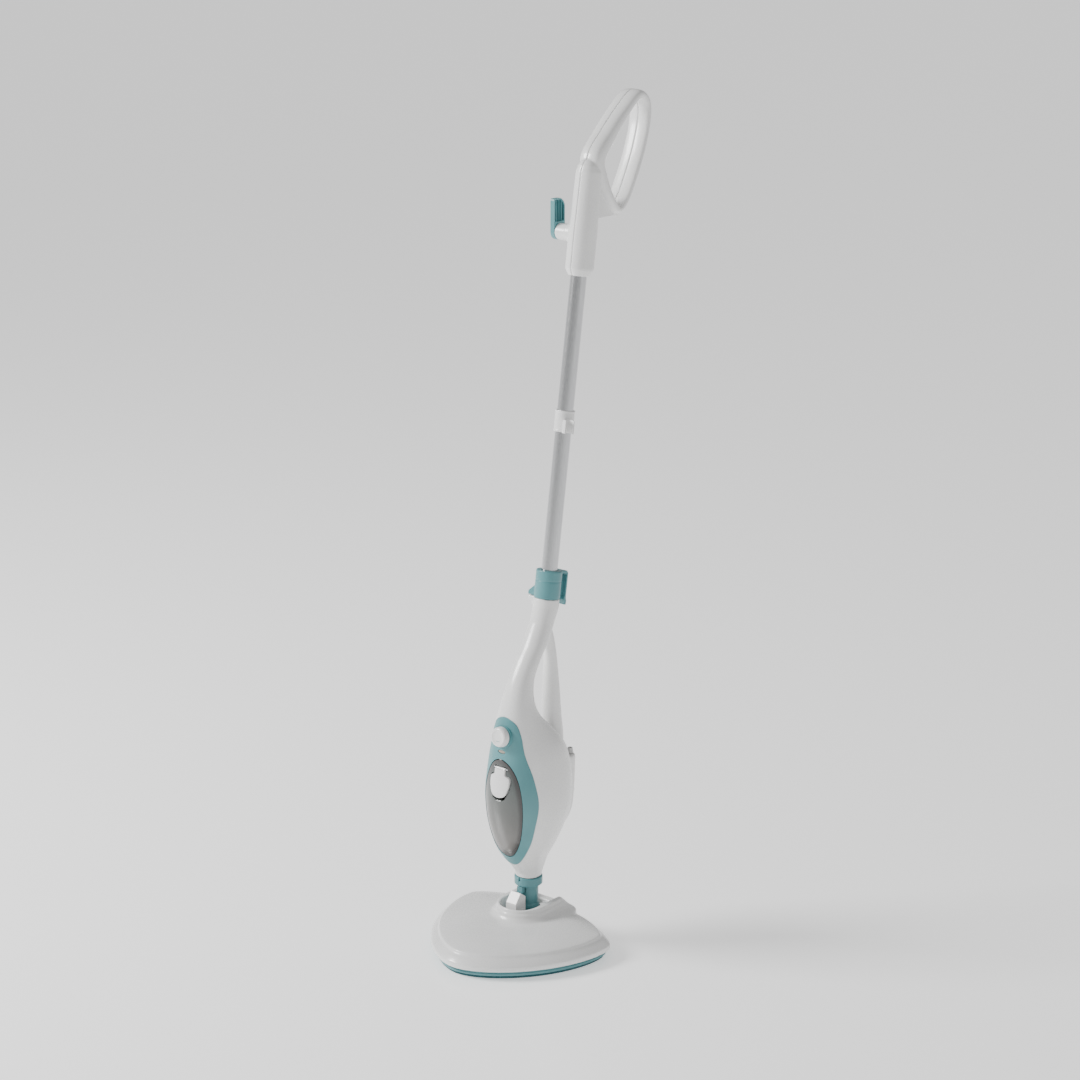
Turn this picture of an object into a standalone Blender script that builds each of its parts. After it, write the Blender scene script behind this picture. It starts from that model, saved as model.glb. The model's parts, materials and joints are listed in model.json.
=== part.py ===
"""Upright steam mop: triangular mop head, two-axis neck, hand-held steam unit,
aluminium tube and D handle.

Units are metres, +Z is up.  The origin is on the floor under the neck pivot, the front of the
mop faces -Y and the handle leans back towards +Y.
"""
from math import atan2, cos, pi, radians, sin

import bmesh
import bpy
from mathutils import Matrix, Vector

# ---------------------------------------------------------------- driving dimensions
GAP = 0.0003                # clearance between pieces that touch
RUN = 0.0004                # radial clearance of a pin or drum that turns

# Mop head
HEAD_RADIUS = 0.1227        # mean half width of the rounded triangle
HEAD_FORWARD = 0.0349       # how far its middle lies in front of the neck
HEAD_OVAL = 0.0090          # extra half width, taken off the length
HEAD_POINT = 0.0127         # how strongly the outline is triangular
PAD_HEIGHT = 0.0042
PAD_INSET = 0.0095          # from the cover's rim
BASE_TOP = 0.0122
BASE_INSET = 0.0055
COVER_WALL = 0.0025
COVER_RIM = 0.0060          # height of the upright rim
COVER_RISE = 0.0320         # from the rim's lower edge to the middle of the top
HEAD_SCREW_R = 0.0020

# Yoke, which rocks sideways, and the neck, which tilts back in it
ROLL_Z = 0.0340
TILT_Z = 0.0420
TRUNNION_R = 0.0040
TRUNNION_LENGTH = 0.0085
BRIDGE = 0.0135             # length of the yoke's rear bridge
BEARING_PLAY = 0.0010       # between the yoke and each bearing
NECK_R = 0.0138
NECK_PIN_R = 0.0030
CHEEK = 0.0040
CHEEK_IN = NECK_R + 0.0020  # inner face of a cheek, clear of the bead round the neck
STOP_REAR = NECK_R + 0.0027     # the yoke's pocket reaches this far each way from the neck's axis
STOP_HALF = 0.0090
STOP_FRONT = -STOP_REAR - 0.0210
STOP_TOP = 0.0785
RING_R = NECK_R + 0.0059
RING_LOW = 0.0840
RING_TOP = 0.0962
SPOUT_R = RING_R - 0.0019
BUTTON_TRAVEL = 0.0025
NOZZLE_R = 0.0060

# Hub on top of the head, with the slot that the yoke and neck rock in
HUB_TOP = 0.0605
SLOT_HALF = CHEEK_IN + CHEEK + 0.0080
SLOT_FRONT = STOP_FRONT - 0.0070
SLOT_POWER = 2.5            # how square the slot's front is, 2 for an ellipse
SLOT_SILL = 0.0440          # the slot is open to the rear above this height
HUB_R = SLOT_HALF + 0.0087  # half width at the top
HUB_CENTRE = -0.0120        # y of the middle of its round front
HUB_REAR = STOP_REAR + BRIDGE + BEARING_PLAY + TRUNNION_LENGTH + 0.0045
HUB_FLARE = 0.0160          # how far its foot spreads

# Hand-held steam unit
WALL = 0.0025
BODY_HALF_WIDTH = 0.0525    # at the widest place of the tank housing
BODY_HALF_DEPTH = 0.0655
HUMP_HALF = 0.0310
HUMP_TOP = 0.2622
HUMP_REAR = BODY_HALF_DEPTH + 0.0082
SEAM_REAR = BODY_HALF_DEPTH - 0.0195    # where the casings' seam lies furthest back
KNOB_R = 0.0142
KNOB_HEIGHT = 0.0100
KNOB_Z = 0.3150
KNOB_SLOPE = radians(8)
SHAFT_R = 0.0040
TANK_BACK = -0.0150
OUTLET_Z = 0.1500
BOILER_LOW, BOILER_TOP = 0.1560, 0.2360
BOILER_HALF = 0.0260
PUMP_R, PUMP_LENGTH = 0.0130, 0.0550
PUMP = Vector((0.0, 0.0440, 0.1800))
MOUNT_WALL = 0.0020
CASING_SCREW = (0.0220, 0.2100)         # x and z
CAP_HINGE = Vector((0.0, 0.0083 - BODY_HALF_DEPTH, 0.2700))
CAP_TILT = atan2(0.0050, 0.0430)
BARREL_R = 0.0018
CAP_PIN_R = 0.0008

# Tube, collar and upper handle, measured along the leaning tube
TUBE_R = 0.0110
TUBE_WALL = 0.0010
TUBE_LEAN = radians(8.67)
SEAT = Vector((0.0, 0.0392, 0.4900))    # centre of the collar's lower face
COLLAR_R = TUBE_R + 0.0070
COLLAR_LENGTH = 0.0385
LIMB_R = TUBE_R + 0.0060    # the casing where it meets the collar
TUBE_START = -0.0185
STEM_START = 0.4390
STEM_R = TUBE_R + 0.0075
STEM_LENGTH = 0.1560
SOCKET_DEPTH = 0.0800       # how far the tube reaches into the handle
CLIP_AT = 0.2290
CLIP_HEIGHT = 0.0290
CLIP_SWING = radians(-35)   # the clip's channel stands off the right side, turned to the front
LOOP_HALF = 0.0172          # half width of the handle's strap
PEG_R = 0.0114
PEG_AT = 0.4945
PEG_END = STEM_R + 0.0215   # from the tube's axis to the hook's inner face
HOOK_THICK = 0.0070
HOOK_HEIGHT = 0.0560
HANDLE_SCREWS = [(0.1300, 1.0720), (0.1300, 1.0200), (0.2150, 1.1500)]     # y and z

WHITE = ("white_gloss_plastic", "F2F2F0", 0.25, 0.0)
TEAL = ("teal_plastic", "5E9C9E", 0.35, 0.0)
DARK = ("dark_plastic", "2B2B2D", 0.5, 0.0)
SMOKE = ("smoked_tank_plastic", "6E6460", 0.15, 0.0)
ALUMINIUM = ("polished_aluminium", "C9CACC", 0.25, 1.0)
STEEL = ("zinc_plated_steel", "A9ABAE", 0.35, 1.0)
BRASS = ("turned_brass", "B08D4A", 0.35, 1.0)
CAST = ("cast_aluminium", "8F9193", 0.6, 1.0)
RUBBER = ("black_rubber", "1E1E1F", 0.8, 0.0)
SILICONE = ("clear_silicone", "C8CDCB", 0.5, 0.0)
CLOTH = ("teal_microfibre", "4F8F93", 0.95, 0.0)
LENS = ("pilot_lens", "8C8A84", 0.3, 0.0)

for old in list(bpy.data.objects):
    bpy.data.objects.remove(old)

PARTS = bpy.data.collections.new("steam_mop")
CUTTERS = bpy.data.collections.new("cutters")
for group in (PARTS, CUTTERS):
    bpy.context.scene.collection.children.link(group)


# ---------------------------------------------------------------- helpers
def linear(hex_colour):
    """A hex sRGB colour as the linear values that a shader takes."""
    values = [int(hex_colour[i:i + 2], 16) / 255 for i in (0, 2, 4)]
    return [v / 12.92 if v <= 0.04045 else ((v + 0.055) / 1.055) ** 2.4 for v in values] + [1.0]


def material(spec):
    name, colour, roughness, metallic = spec
    found = bpy.data.materials.get(name)
    if found:
        return found
    made = bpy.data.materials.new(name)
    made.use_nodes = True
    shader = made.node_tree.nodes["Principled BSDF"]
    shader.inputs["Base Color"].default_value = linear(colour)
    shader.inputs["Roughness"].default_value = roughness
    shader.inputs["Metallic"].default_value = metallic
    return made


def place(name, mesh, spec, matrix=None, origin=None, group=PARTS):
    """Make an object of the mesh; with an origin, the object turns about that point."""
    matrix = matrix or Matrix()
    mesh.transform(matrix)
    obj = bpy.data.objects.new(name, mesh)
    if origin is not None:
        mesh.transform(Matrix.Translation(-Vector(origin)))
        obj.location = origin
    group.objects.link(obj)
    mesh.materials.clear()
    mesh.materials.append(material(spec))
    mesh.shade_smooth()
    mesh.set_sharp_from_angle(angle=radians(35))
    return obj


def as_mesh(bm, name="shape"):
    bmesh.ops.recalc_face_normals(bm, faces=bm.faces)
    mesh = bpy.data.meshes.new(name)
    bm.to_mesh(mesh)
    bm.free()
    return mesh


def box(low, high, bevel=0.0, segments=2):
    """A box between two corners, with all its edges rounded."""
    low, high = Vector(low), Vector(high)
    bm = bmesh.new()
    bmesh.ops.create_cube(bm, size=1.0)
    bmesh.ops.scale(bm, vec=high - low, verts=bm.verts)
    bmesh.ops.translate(bm, vec=(high + low) / 2, verts=bm.verts)
    if bevel:
        bmesh.ops.bevel(bm, geom=bm.edges[:], offset=bevel, segments=segments, affect="EDGES", profile=0.5)
    return as_mesh(bm)


def cylinder(radius, start, end, sides=24, bevel=0.0):
    """A round bar from one point to another."""
    start, end = Vector(start), Vector(end)
    axis = end - start
    bm = bmesh.new()
    bmesh.ops.create_cone(bm, cap_ends=True, segments=sides, radius1=radius, radius2=radius,
                          depth=axis.length)
    if bevel:
        rims = [e for e in bm.edges if abs(e.verts[0].co.z - e.verts[1].co.z) < 1e-9]
        bmesh.ops.bevel(bm, geom=rims, offset=bevel, segments=2, affect="EDGES", profile=0.5)
    turn = axis.to_track_quat("Z", "Y").to_matrix().to_4x4()
    bmesh.ops.transform(bm, matrix=Matrix.Translation((start + end) / 2) @ turn, verts=bm.verts)
    return as_mesh(bm)


def turned(profile, sides=32):
    """A solid of revolution about Z; the profile of (radius, height) is a closed loop."""
    bm = bmesh.new()
    rings = []
    for step in range(sides):
        angle = 2 * pi * step / sides
        rings.append([bm.verts.new((r * cos(angle), r * sin(angle), z)) for r, z in profile])
    count = len(profile)
    for step in range(sides):
        near, far = rings[step], rings[(step + 1) % sides]
        for k in range(count):
            after = (k + 1) % count
            bm.faces.new((near[k], near[after], far[after], far[k]))
    return as_mesh(bm)


def solid_turned(profile, sides=32):
    """A solid of revolution whose profile starts and ends on the axis."""
    bm = bmesh.new()
    inner = [(r, z) for r, z in profile if r > 0]
    rings = [[bm.verts.new((r * cos(2 * pi * s / sides), r * sin(2 * pi * s / sides), z))
              for s in range(sides)] for r, z in inner]
    for low, high in zip(rings, rings[1:]):
        for s in range(sides):
            after = (s + 1) % sides
            bm.faces.new((low[s], low[after], high[after], high[s]))
    bm.faces.new(rings[0])
    bm.faces.new(rings[-1])
    return as_mesh(bm)


def loft(rings, cyclic=False):
    """Skin a row of rings that have the same number of points, and cap both ends."""
    bm = bmesh.new()
    rows = [[bm.verts.new(p) for p in ring] for ring in rings]
    pairs = list(zip(rows, rows[1:]))
    if cyclic:
        pairs.append((rows[-1], rows[0]))
    for low, high in pairs:
        for k in range(len(low)):
            after = (k + 1) % len(low)
            bm.faces.new((low[k], low[after], high[after], high[k]))
    if not cyclic:
        bm.faces.new(rows[0])
        bm.faces.new(rows[-1])
    return as_mesh(bm)


def plate(outline, low, high, axis="Y"):
    """A flat outline as thick as the way from low to high along an axis.

    The outline is given as (x, z) for axis Y, (y, z) for axis X and (x, y) for axis Z.
    """
    curve = bpy.data.curves.new("outline", "CURVE")
    curve.dimensions = "2D"
    curve.fill_mode = "BOTH"
    curve.extrude = (high - low) / 2
    spline = curve.splines.new("POLY")
    spline.points.add(len(outline) - 1)
    for point, (u, v) in zip(spline.points, outline):
        point.co = (u, v, 0, 1)
    spline.use_cyclic_u = True
    holder = bpy.data.objects.new("outline", curve)
    CUTTERS.objects.link(holder)
    bpy.context.view_layer.update()
    mesh = bpy.data.meshes.new_from_object(holder.evaluated_get(bpy.context.evaluated_depsgraph_get()))
    bpy.data.objects.remove(holder)
    bm = bmesh.new()
    bm.from_mesh(mesh)
    bpy.data.meshes.remove(mesh)
    bmesh.ops.remove_doubles(bm, verts=bm.verts, dist=1e-6)
    middle = (low + high) / 2
    turns = {
        "X": Matrix(((0, 0, 1, middle), (1, 0, 0, 0), (0, 1, 0, 0), (0, 0, 0, 1))),
        "Y": Matrix(((1, 0, 0, 0), (0, 0, -1, middle), (0, 1, 0, 0), (0, 0, 0, 1))),
        "Z": Matrix.Translation((0, 0, middle)),
    }
    bmesh.ops.transform(bm, matrix=turns[axis], verts=bm.verts)
    return as_mesh(bm)


def cutter(name, mesh, matrix=None):
    obj = place(name, mesh, DARK, matrix, group=CUTTERS)
    obj.hide_render = True
    obj.display_type = "WIRE"
    return obj


def combine(obj, other, operation="DIFFERENCE"):
    step = obj.modifiers.new(operation.lower(), "BOOLEAN")
    step.operation = operation
    step.object = other
    step.solver = "EXACT"
    return obj


def cut(obj, name, mesh, matrix=None):
    return combine(obj, cutter(name, mesh, matrix))


def join(obj, name, mesh, matrix=None):
    return combine(obj, cutter(name, mesh, matrix), "UNION")


def spline_through(points, steps, cyclic=False):
    """A smooth row of points through the given ones, steps to each stretch."""
    points = [Vector(p) for p in points]
    count = len(points)
    result = []
    for k in range(count if cyclic else count - 1):
        if cyclic:
            a, b, c, d = (points[(k + i) % count] for i in (-1, 0, 1, 2))
        else:
            a, b, c, d = (points[min(max(k + i, 0), count - 1)] for i in (-1, 0, 1, 2))
        for step in range(steps):
            t = step / steps
            result.append(0.5 * ((2 * b) + (c - a) * t + (2 * a - 5 * b + 4 * c - d) * t ** 2
                                 + (3 * b - a - 3 * c + d) * t ** 3))
    if not cyclic:
        result.append(points[-1])
    return result


def section(y, z, half_width, half_depth, tilt=0.0, power=2.0, count=36):
    """A ring round (0, y, z); power 2 is an ellipse and higher powers are squarer."""
    ring = []
    for k in range(count):
        angle = 2 * pi * k / count
        c, s = cos(angle), sin(angle)
        along = half_depth * (abs(c) ** (2 / power)) * (1 if c >= 0 else -1)
        across = half_width * (abs(s) ** (2 / power)) * (1 if s >= 0 else -1)
        ring.append((across, y + along * cos(tilt), z - along * sin(tilt)))
    return ring


def on_tube(s, turn=0.0):
    """The frame at a distance s up the tube, turned about the tube's own axis."""
    lean = Matrix.Rotation(-TUBE_LEAN, 4, "X")
    return Matrix.Translation(SEAT) @ lean @ Matrix.Translation((0, 0, s)) @ Matrix.Rotation(turn, 4, "Z")


# ---------------------------------------------------------------- mop head
def head_outline(inset, z, count=32):
    """The rounded triangle from its support function, shrunk about its middle by about inset."""
    shrink = 1 - inset / HEAD_RADIUS
    ring = []
    for k in range(count):
        angle = 2 * pi * k / count
        reach = HEAD_RADIUS - HEAD_OVAL * cos(2 * angle) + HEAD_POINT * cos(3 * angle)
        slope = 2 * HEAD_OVAL * sin(2 * angle) - 3 * HEAD_POINT * sin(3 * angle)
        x = reach * sin(angle) + slope * cos(angle)
        forward = reach * cos(angle) - slope * sin(angle)
        ring.append((x * shrink, -HEAD_FORWARD - forward * shrink, z))
    return ring


def cover_skin(wall):
    """The cover's outer skin, or its inner one at a wall's distance."""
    low = BASE_TOP + GAP
    steps = [(0.0012, 0.0), (0.0, 0.0015), (0.0, COVER_RIM), (0.0030, COVER_RIM + 0.0060),
             (0.0110, COVER_RIM + 0.0125), (0.0230, COVER_RIM + 0.0172),
             (0.0480, COVER_RIM + 0.0225), (0.0850, COVER_RISE)]
    rings = [head_outline(inset + wall, low + rise - wall) for inset, rise in steps]
    if wall:
        rings[0] = head_outline(steps[1][0] + wall, low - 0.01)
        rings[1] = head_outline(steps[1][0] + wall, low + 0.001)
    return loft(rings)


def hub_ring(spread, rear, z):
    """One level of the hub: a half circle in front, straight sides and a blunt rear."""
    radius = HUB_R + spread
    points = [(radius * sin(a), HUB_CENTRE - radius * cos(a), z)
              for a in (pi * k / 12 - pi / 2 for k in range(13))]
    corner = 0.0120 + spread / 2
    for sign, start in ((1, 0), (-1, pi / 2)):
        for k in range(4):
            a = start + pi / 2 * k / 3
            points.append((sign * (radius - corner) + corner * cos(a), rear - corner + corner * sin(a), z))
    return points


def slot_ring(rear, z):
    """The slot in plan: a blunt rounded front and straight sides."""
    points = []
    for k in range(13):
        a = pi * k / 12 - pi / 2
        side = 1 if a > 0 else -1
        across = SLOT_HALF * abs(sin(a)) ** (2 / SLOT_POWER) * side
        ahead = (HUB_CENTRE - SLOT_FRONT) * abs(cos(a)) ** (2 / SLOT_POWER)
        points.append((across, HUB_CENTRE - ahead, z))
    return points + [(SLOT_HALF, rear, z), (-SLOT_HALF, rear, z)]


def build_head():
    cover = place("head_cover", cover_skin(0.0), WHITE)
    top = HUB_TOP
    levels = [(HUB_FLARE, HUB_REAR + 0.010, top - 0.0270), (HUB_FLARE, HUB_REAR + 0.010, top - 0.0195),
              (HUB_FLARE * 0.5, HUB_REAR + 0.004, top - 0.0150), (HUB_FLARE * 0.16, HUB_REAR, top - 0.0095),
              (0.0, HUB_REAR - 0.005, top - 0.0040), (-0.0012, HUB_REAR - 0.012, top)]
    join(cover, "hub_solid", loft([hub_ring(*level) for level in levels]))
    inside = cutter("cover_inside", cover_skin(COVER_WALL))
    combine(cover, inside)
    rear = HUB_REAR - 0.0040
    cut(cover, "slot", loft([slot_ring(rear, z) for z in (0.0, 0.1)]))
    cut(cover, "slot_rear", box((-SLOT_HALF, rear - 0.01, SLOT_SILL), (SLOT_HALF, 0.12, 0.1)))

    base = place("head_base", loft([head_outline(BASE_INSET + 0.0015, PAD_HEIGHT + GAP),
                                    head_outline(BASE_INSET, PAD_HEIGHT + 0.0015),
                                    head_outline(BASE_INSET, BASE_TOP)]), TEAL)
    place("mop_pad", loft([head_outline(PAD_INSET + 0.002, 0.0), head_outline(PAD_INSET, 0.0012),
                           head_outline(PAD_INSET, PAD_HEIGHT - 0.001),
                           head_outline(PAD_INSET + 0.001, PAD_HEIGHT)]), CLOTH)

    spread = HEAD_RADIUS * 0.62
    places = [(side * x, y) for x, y in ((spread * 0.5, -HEAD_RADIUS * 0.86), (spread, -0.0050))
              for side in (-1, 1)]
    for k, (x, y) in enumerate(places, 1):
        cut(inside, f"boss_{k}", cylinder(0.0042, (x, y, -0.01), (x, y, 0.1), 12))
        bore_top = BASE_TOP + GAP + 0.0115
        cut(cover, f"boss_bore_{k}", cylinder(HEAD_SCREW_R + GAP, (x, y, 0.0), (x, y, bore_top), 12))
        cut(base, f"base_bore_{k}", cylinder(HEAD_SCREW_R + GAP, (x, y, 0.0), (x, y, 0.03), 12))
        cut(base, f"base_sink_{k}", cylinder(0.0040 + GAP, (x, y, 0.0), (x, y, PAD_HEIGHT + 0.0030), 12))
        screw(f"head_screw_{k}", (x, y, PAD_HEIGHT + GAP), (0, 0, 1), 0.0040, HEAD_SCREW_R, 0.0180)


def screw(name, start, axis, head_r, shank_r, length):
    """One screw, from the outside of its head along the axis."""
    turn = Vector(axis).to_track_quat("Z", "Y").to_matrix().to_4x4()
    head_height = 0.0024
    profile = [(head_r * 0.8, 0), (head_r, head_height * 0.35), (head_r, head_height),
               (shank_r, head_height), (shank_r, length - 0.001), (shank_r * 0.4, length)]
    place(name, solid_turned(profile, 8), STEEL, Matrix.Translation(start) @ turn)


def build_bearings():
    """Two blocks on the base carry the yoke's trunnions."""
    rear_face = STOP_REAR + BRIDGE
    for name, low, high in (("front_bearing", STOP_FRONT - BEARING_PLAY - TRUNNION_LENGTH, STOP_FRONT - BEARING_PLAY),
                            ("rear_bearing", rear_face + BEARING_PLAY, rear_face + BEARING_PLAY + TRUNNION_LENGTH)):
        block = place(name, box((-0.0080, low, BASE_TOP + GAP), (0.0080, high, ROLL_Z + 0.0045)), WHITE)
        bore = cylinder(TRUNNION_R + RUN, (0, low - 0.01, ROLL_Z), (0, high + 0.01, ROLL_Z), 24)
        cut(block, name + "_bore", bore)


# ---------------------------------------------------------------- yoke and neck
def build_yoke():
    centre = (0, 0, ROLL_Z)
    floor = ROLL_Z - 0.0115
    yoke = place("swivel_yoke", box((-CHEEK_IN - CHEEK, -STOP_REAR - 0.002, floor),
                                    (CHEEK_IN + CHEEK, STOP_REAR, floor + 0.0030)), WHITE, origin=centre)
    for side in (-1, 1):
        low, high = sorted((side * CHEEK_IN, side * (CHEEK_IN + CHEEK)))
        join(yoke, f"cheek_{side}", box((low, -STOP_REAR, floor + 0.001), (high, STOP_REAR, TILT_Z + 0.0080)))
    rest = -STOP_REAR - 0.0003
    wedge = [(rest, floor), (rest, STOP_TOP - 0.0073), (rest - 0.0100, STOP_TOP),
             (STOP_FRONT, STOP_TOP - 0.0139), (STOP_FRONT, floor)]
    join(yoke, "stop_block", plate(wedge, -STOP_HALF, STOP_HALF, "X"))
    bridge_top = ROLL_Z - 0.0016
    join(yoke, "rear_bridge", box((-0.0070, STOP_REAR - 0.001, floor), (0.0070, STOP_REAR + BRIDGE, bridge_top)))
    join(yoke, "front_trunnion", cylinder(TRUNNION_R, (0, STOP_FRONT + 0.004, ROLL_Z),
                                          (0, STOP_FRONT - TRUNNION_LENGTH, ROLL_Z), 24))
    rear = STOP_REAR + BRIDGE
    join(yoke, "rear_trunnion", cylinder(TRUNNION_R, (0, rear - 0.004, ROLL_Z),
                                         (0, rear + TRUNNION_LENGTH, ROLL_Z), 24))
    reach = CHEEK_IN + CHEEK + 0.01
    cut(yoke, "pin_bore", cylinder(NECK_PIN_R + GAP, (-reach, 0, TILT_Z), (reach, 0, TILT_Z), 24))
    pin = CHEEK_IN + CHEEK
    place("neck_pin", cylinder(NECK_PIN_R, (-pin, 0, TILT_Z), (pin, 0, TILT_Z), 24, 0.0004), STEEL)


def build_neck():
    pivot = (0, 0, TILT_Z)
    socket = SPOUT_R - 0.0030
    profile = [(NECK_R, TILT_Z), (NECK_R, TILT_Z + 0.0085), (NECK_R + 0.0016, TILT_Z + 0.0100),
               (NECK_R + 0.0016, TILT_Z + 0.0125), (NECK_R, TILT_Z + 0.0150),
               (NECK_R + 0.0004, RING_LOW - 0.001), (RING_R - 0.0006, RING_LOW), (RING_R, RING_LOW + 0.0006),
               (RING_R, RING_TOP - 0.0006), (RING_R - 0.0006, RING_TOP)]
    neck = place("neck", solid_turned(profile, 28), TEAL, origin=pivot)
    join(neck, "neck_barrel", cylinder(NECK_R - 0.0008, (-NECK_R, 0, TILT_Z), (NECK_R, 0, TILT_Z), 24))
    cut(neck, "neck_socket", cylinder(socket, (0, 0, RING_LOW + 0.0020), (0, 0, RING_TOP + 0.02), 28))
    bore = cylinder(NOZZLE_R + 0.0012, (0, 0, RING_TOP - 0.0160), (0, 0, RING_TOP + 0.01), 24)
    cut(neck, "nozzle_bore", bore)
    cut(neck, "neck_bore", cylinder(0.0050, (0, 0, TILT_Z + 0.0110), (0, 0, RING_TOP), 20))
    cut(neck, "neck_pin_bore", cylinder(NECK_PIN_R + RUN, (-0.03, 0, TILT_Z), (0.03, 0, TILT_Z), 24))
    notch = box((-0.0012, -RING_R - 0.01, RING_TOP - 0.0045), (0.0012, -RING_R + 0.0022, 0.2))
    cut(neck, "neck_notch", notch)

    # Release button in a pocket in front of the neck, pressed towards the neck
    low, high = RING_LOW - 0.0100, RING_LOW - GAP - 0.0004
    back = -NECK_R + 0.0045
    cut(neck, "button_pocket", box((-0.0052, -0.05, low - GAP), (0.0052, back, high + GAP)))
    face = -NECK_R - 0.0055
    inner = back - BUTTON_TRAVEL - 0.0010
    button = place("neck_button", box((-0.0048, face, low + 0.0002), (0.0048, inner, high), 0.0008), TEAL)
    spring_bore = 0.0022
    middle = (low + high) / 2
    cut(button, "button_bore", cylinder(spring_bore, (0, face + 0.0010, middle), (0, 0, middle), 16))
    ends = [Vector((0, y, middle)) for y in (face + 0.0042, back - 0.0008)]
    place("neck_button_spring", coil(0.0016, 0.0002, *ends, 4), STEEL)


def coil(radius, wire, start, end, turns):
    """A small coil spring along the way from start to end."""
    axis = end - start
    turn = axis.to_track_quat("Z", "Y").to_matrix()
    steps = 8
    points = [start + turn @ Vector((radius * cos(2 * pi * k / steps), radius * sin(2 * pi * k / steps),
                                     axis.length * k / (turns * steps)))
              for k in range(turns * steps + 1)]
    return rod(points, wire, resolution=0, smooth=False)


def rod(points, radius, resolution=1, smooth=True):
    """A round rod or hose along a row of points."""
    curve = bpy.data.curves.new("rod", "CURVE")
    curve.dimensions = "3D"
    curve.bevel_depth = radius
    curve.bevel_resolution = resolution
    curve.use_fill_caps = True
    path = spline_through(points, 3) if smooth else points
    spline = curve.splines.new("POLY")
    spline.points.add(len(path) - 1)
    for point, co in zip(spline.points, path):
        point.co = (*co, 1)
    holder = bpy.data.objects.new("rod", curve)
    CUTTERS.objects.link(holder)
    bpy.context.view_layer.update()
    mesh = bpy.data.meshes.new_from_object(holder.evaluated_get(bpy.context.evaluated_depsgraph_get()))
    bpy.data.objects.remove(holder)
    bm = bmesh.new()
    bm.from_mesh(mesh)
    bpy.data.meshes.remove(mesh)
    bmesh.ops.remove_doubles(bm, verts=bm.verts, dist=1e-6)
    return as_mesh(bm)


# ---------------------------------------------------------------- hand-held steam unit
def body_stations():
    """Centre y, height, half width and half depth of the body from the spout to the collar."""
    w, d = BODY_HALF_WIDTH, BODY_HALF_DEPTH
    return [(0.0, RING_TOP + GAP, SPOUT_R, SPOUT_R), (0.0, 0.1060, SPOUT_R + 0.0022, SPOUT_R + 0.0026),
            (-0.0050, 0.1273, w * 0.550, d * 0.480), (-0.0049, 0.1472, w * 0.733, d * 0.664),
            (-0.0016, 0.1730, w * 0.886, d * 0.847), (0.0019, 0.2000, w * 0.981, d * 0.977),
            (0.0023, 0.2310, w, d), (0.0021, 0.2633, w * 0.943, d * 0.939),
            (-0.0030, 0.2948, w * 0.819, d * 0.802), (-0.0194, 0.3320, w * 0.560, d * 0.480),
            (-0.0216, 0.3586, LIMB_R + 0.0048, LIMB_R + 0.0048),
            (-0.0148, 0.3855, LIMB_R + 0.0006, LIMB_R + 0.0006), (-0.0009, 0.4105, LIMB_R, LIMB_R),
            (0.0165, 0.4344, LIMB_R, LIMB_R), (0.0300, 0.4600, LIMB_R - 0.0002, LIMB_R - 0.0002)]


def body_skin(grow=0.0, count=24, steps=1, overrun=0.0):
    """The body's skin, moved out by grow; with an overrun it runs past both ends."""
    rings = []
    for y, z, half_width, half_depth in spline_through_tuples(body_stations(), steps):
        rings.append(section(y, z, half_width + grow, half_depth + grow, 0.0, 2.15, count))
    for s in (-0.0120, -GAP):
        centre = on_tube(s).translation
        radius = COLLAR_R - 0.0004 + grow
        rings.append(section(centre.y, centre.z, radius, radius, TUBE_LEAN, 2.0, count))
    if overrun:
        first = rings[0]
        rings.insert(0, [(x, y, z - overrun) for x, y, z in first])
        rings.append([(x, y, z + overrun) for x, y, z in rings[-1]])
    return loft(rings)


def spline_through_tuples(rows, steps):
    """The same smooth row as spline_through, for rows of four values."""
    middle = spline_through([row[:3] for row in rows], steps)
    last = spline_through([(row[3], 0, 0) for row in rows], steps)
    return [(a.x, a.y, a.z, b.x) for a, b in zip(middle, last)]


def strut_skin(grow=0.0):
    """The rear limb of the grip, from inside the housing up into the front limb."""
    foot = BODY_HALF_DEPTH - 0.0134
    stations = [(foot - 0.0121, 0.2480, 0.0150), (foot, 0.2803, 0.0150), (0.0494, 0.3200, 0.0140),
                (0.0484, 0.3485, 0.0128), (0.0475, 0.3850, 0.0105), (0.0455, 0.4150, 0.0088),
                (0.0400, 0.4380, 0.0086), (0.0320, 0.4570, 0.0084)]
    rings = [section(y, z, r + grow, r + grow, 0.0, 2.0, 14) for y, z, r in stations]
    return loft(rings)


def hump_skin(grow=0.0):
    """The boxy rear cover over the pump, flat on top and running out at the bottom."""
    rear = [(0.1300, 0.0507), (0.1450, 0.0342), (0.1660, 0.0157), (0.1850, 0.0075), (0.2040, 0.0037),
            (HUMP_TOP - 0.0042, 0.0), (HUMP_TOP, 0.0022)]
    front = 0.0050
    rings = []
    for z, inset in rear:
        top = z == HUMP_TOP
        y = HUMP_REAR - inset
        half_width = HUMP_HALF + grow - (0.002 if top else 0)
        height = z + (grow if top else 0.0)
        rings.append(section((y + front) / 2, height, half_width, (y - front) / 2 + grow, 0.0, 5.0, 20))
    return loft(rings)


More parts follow.
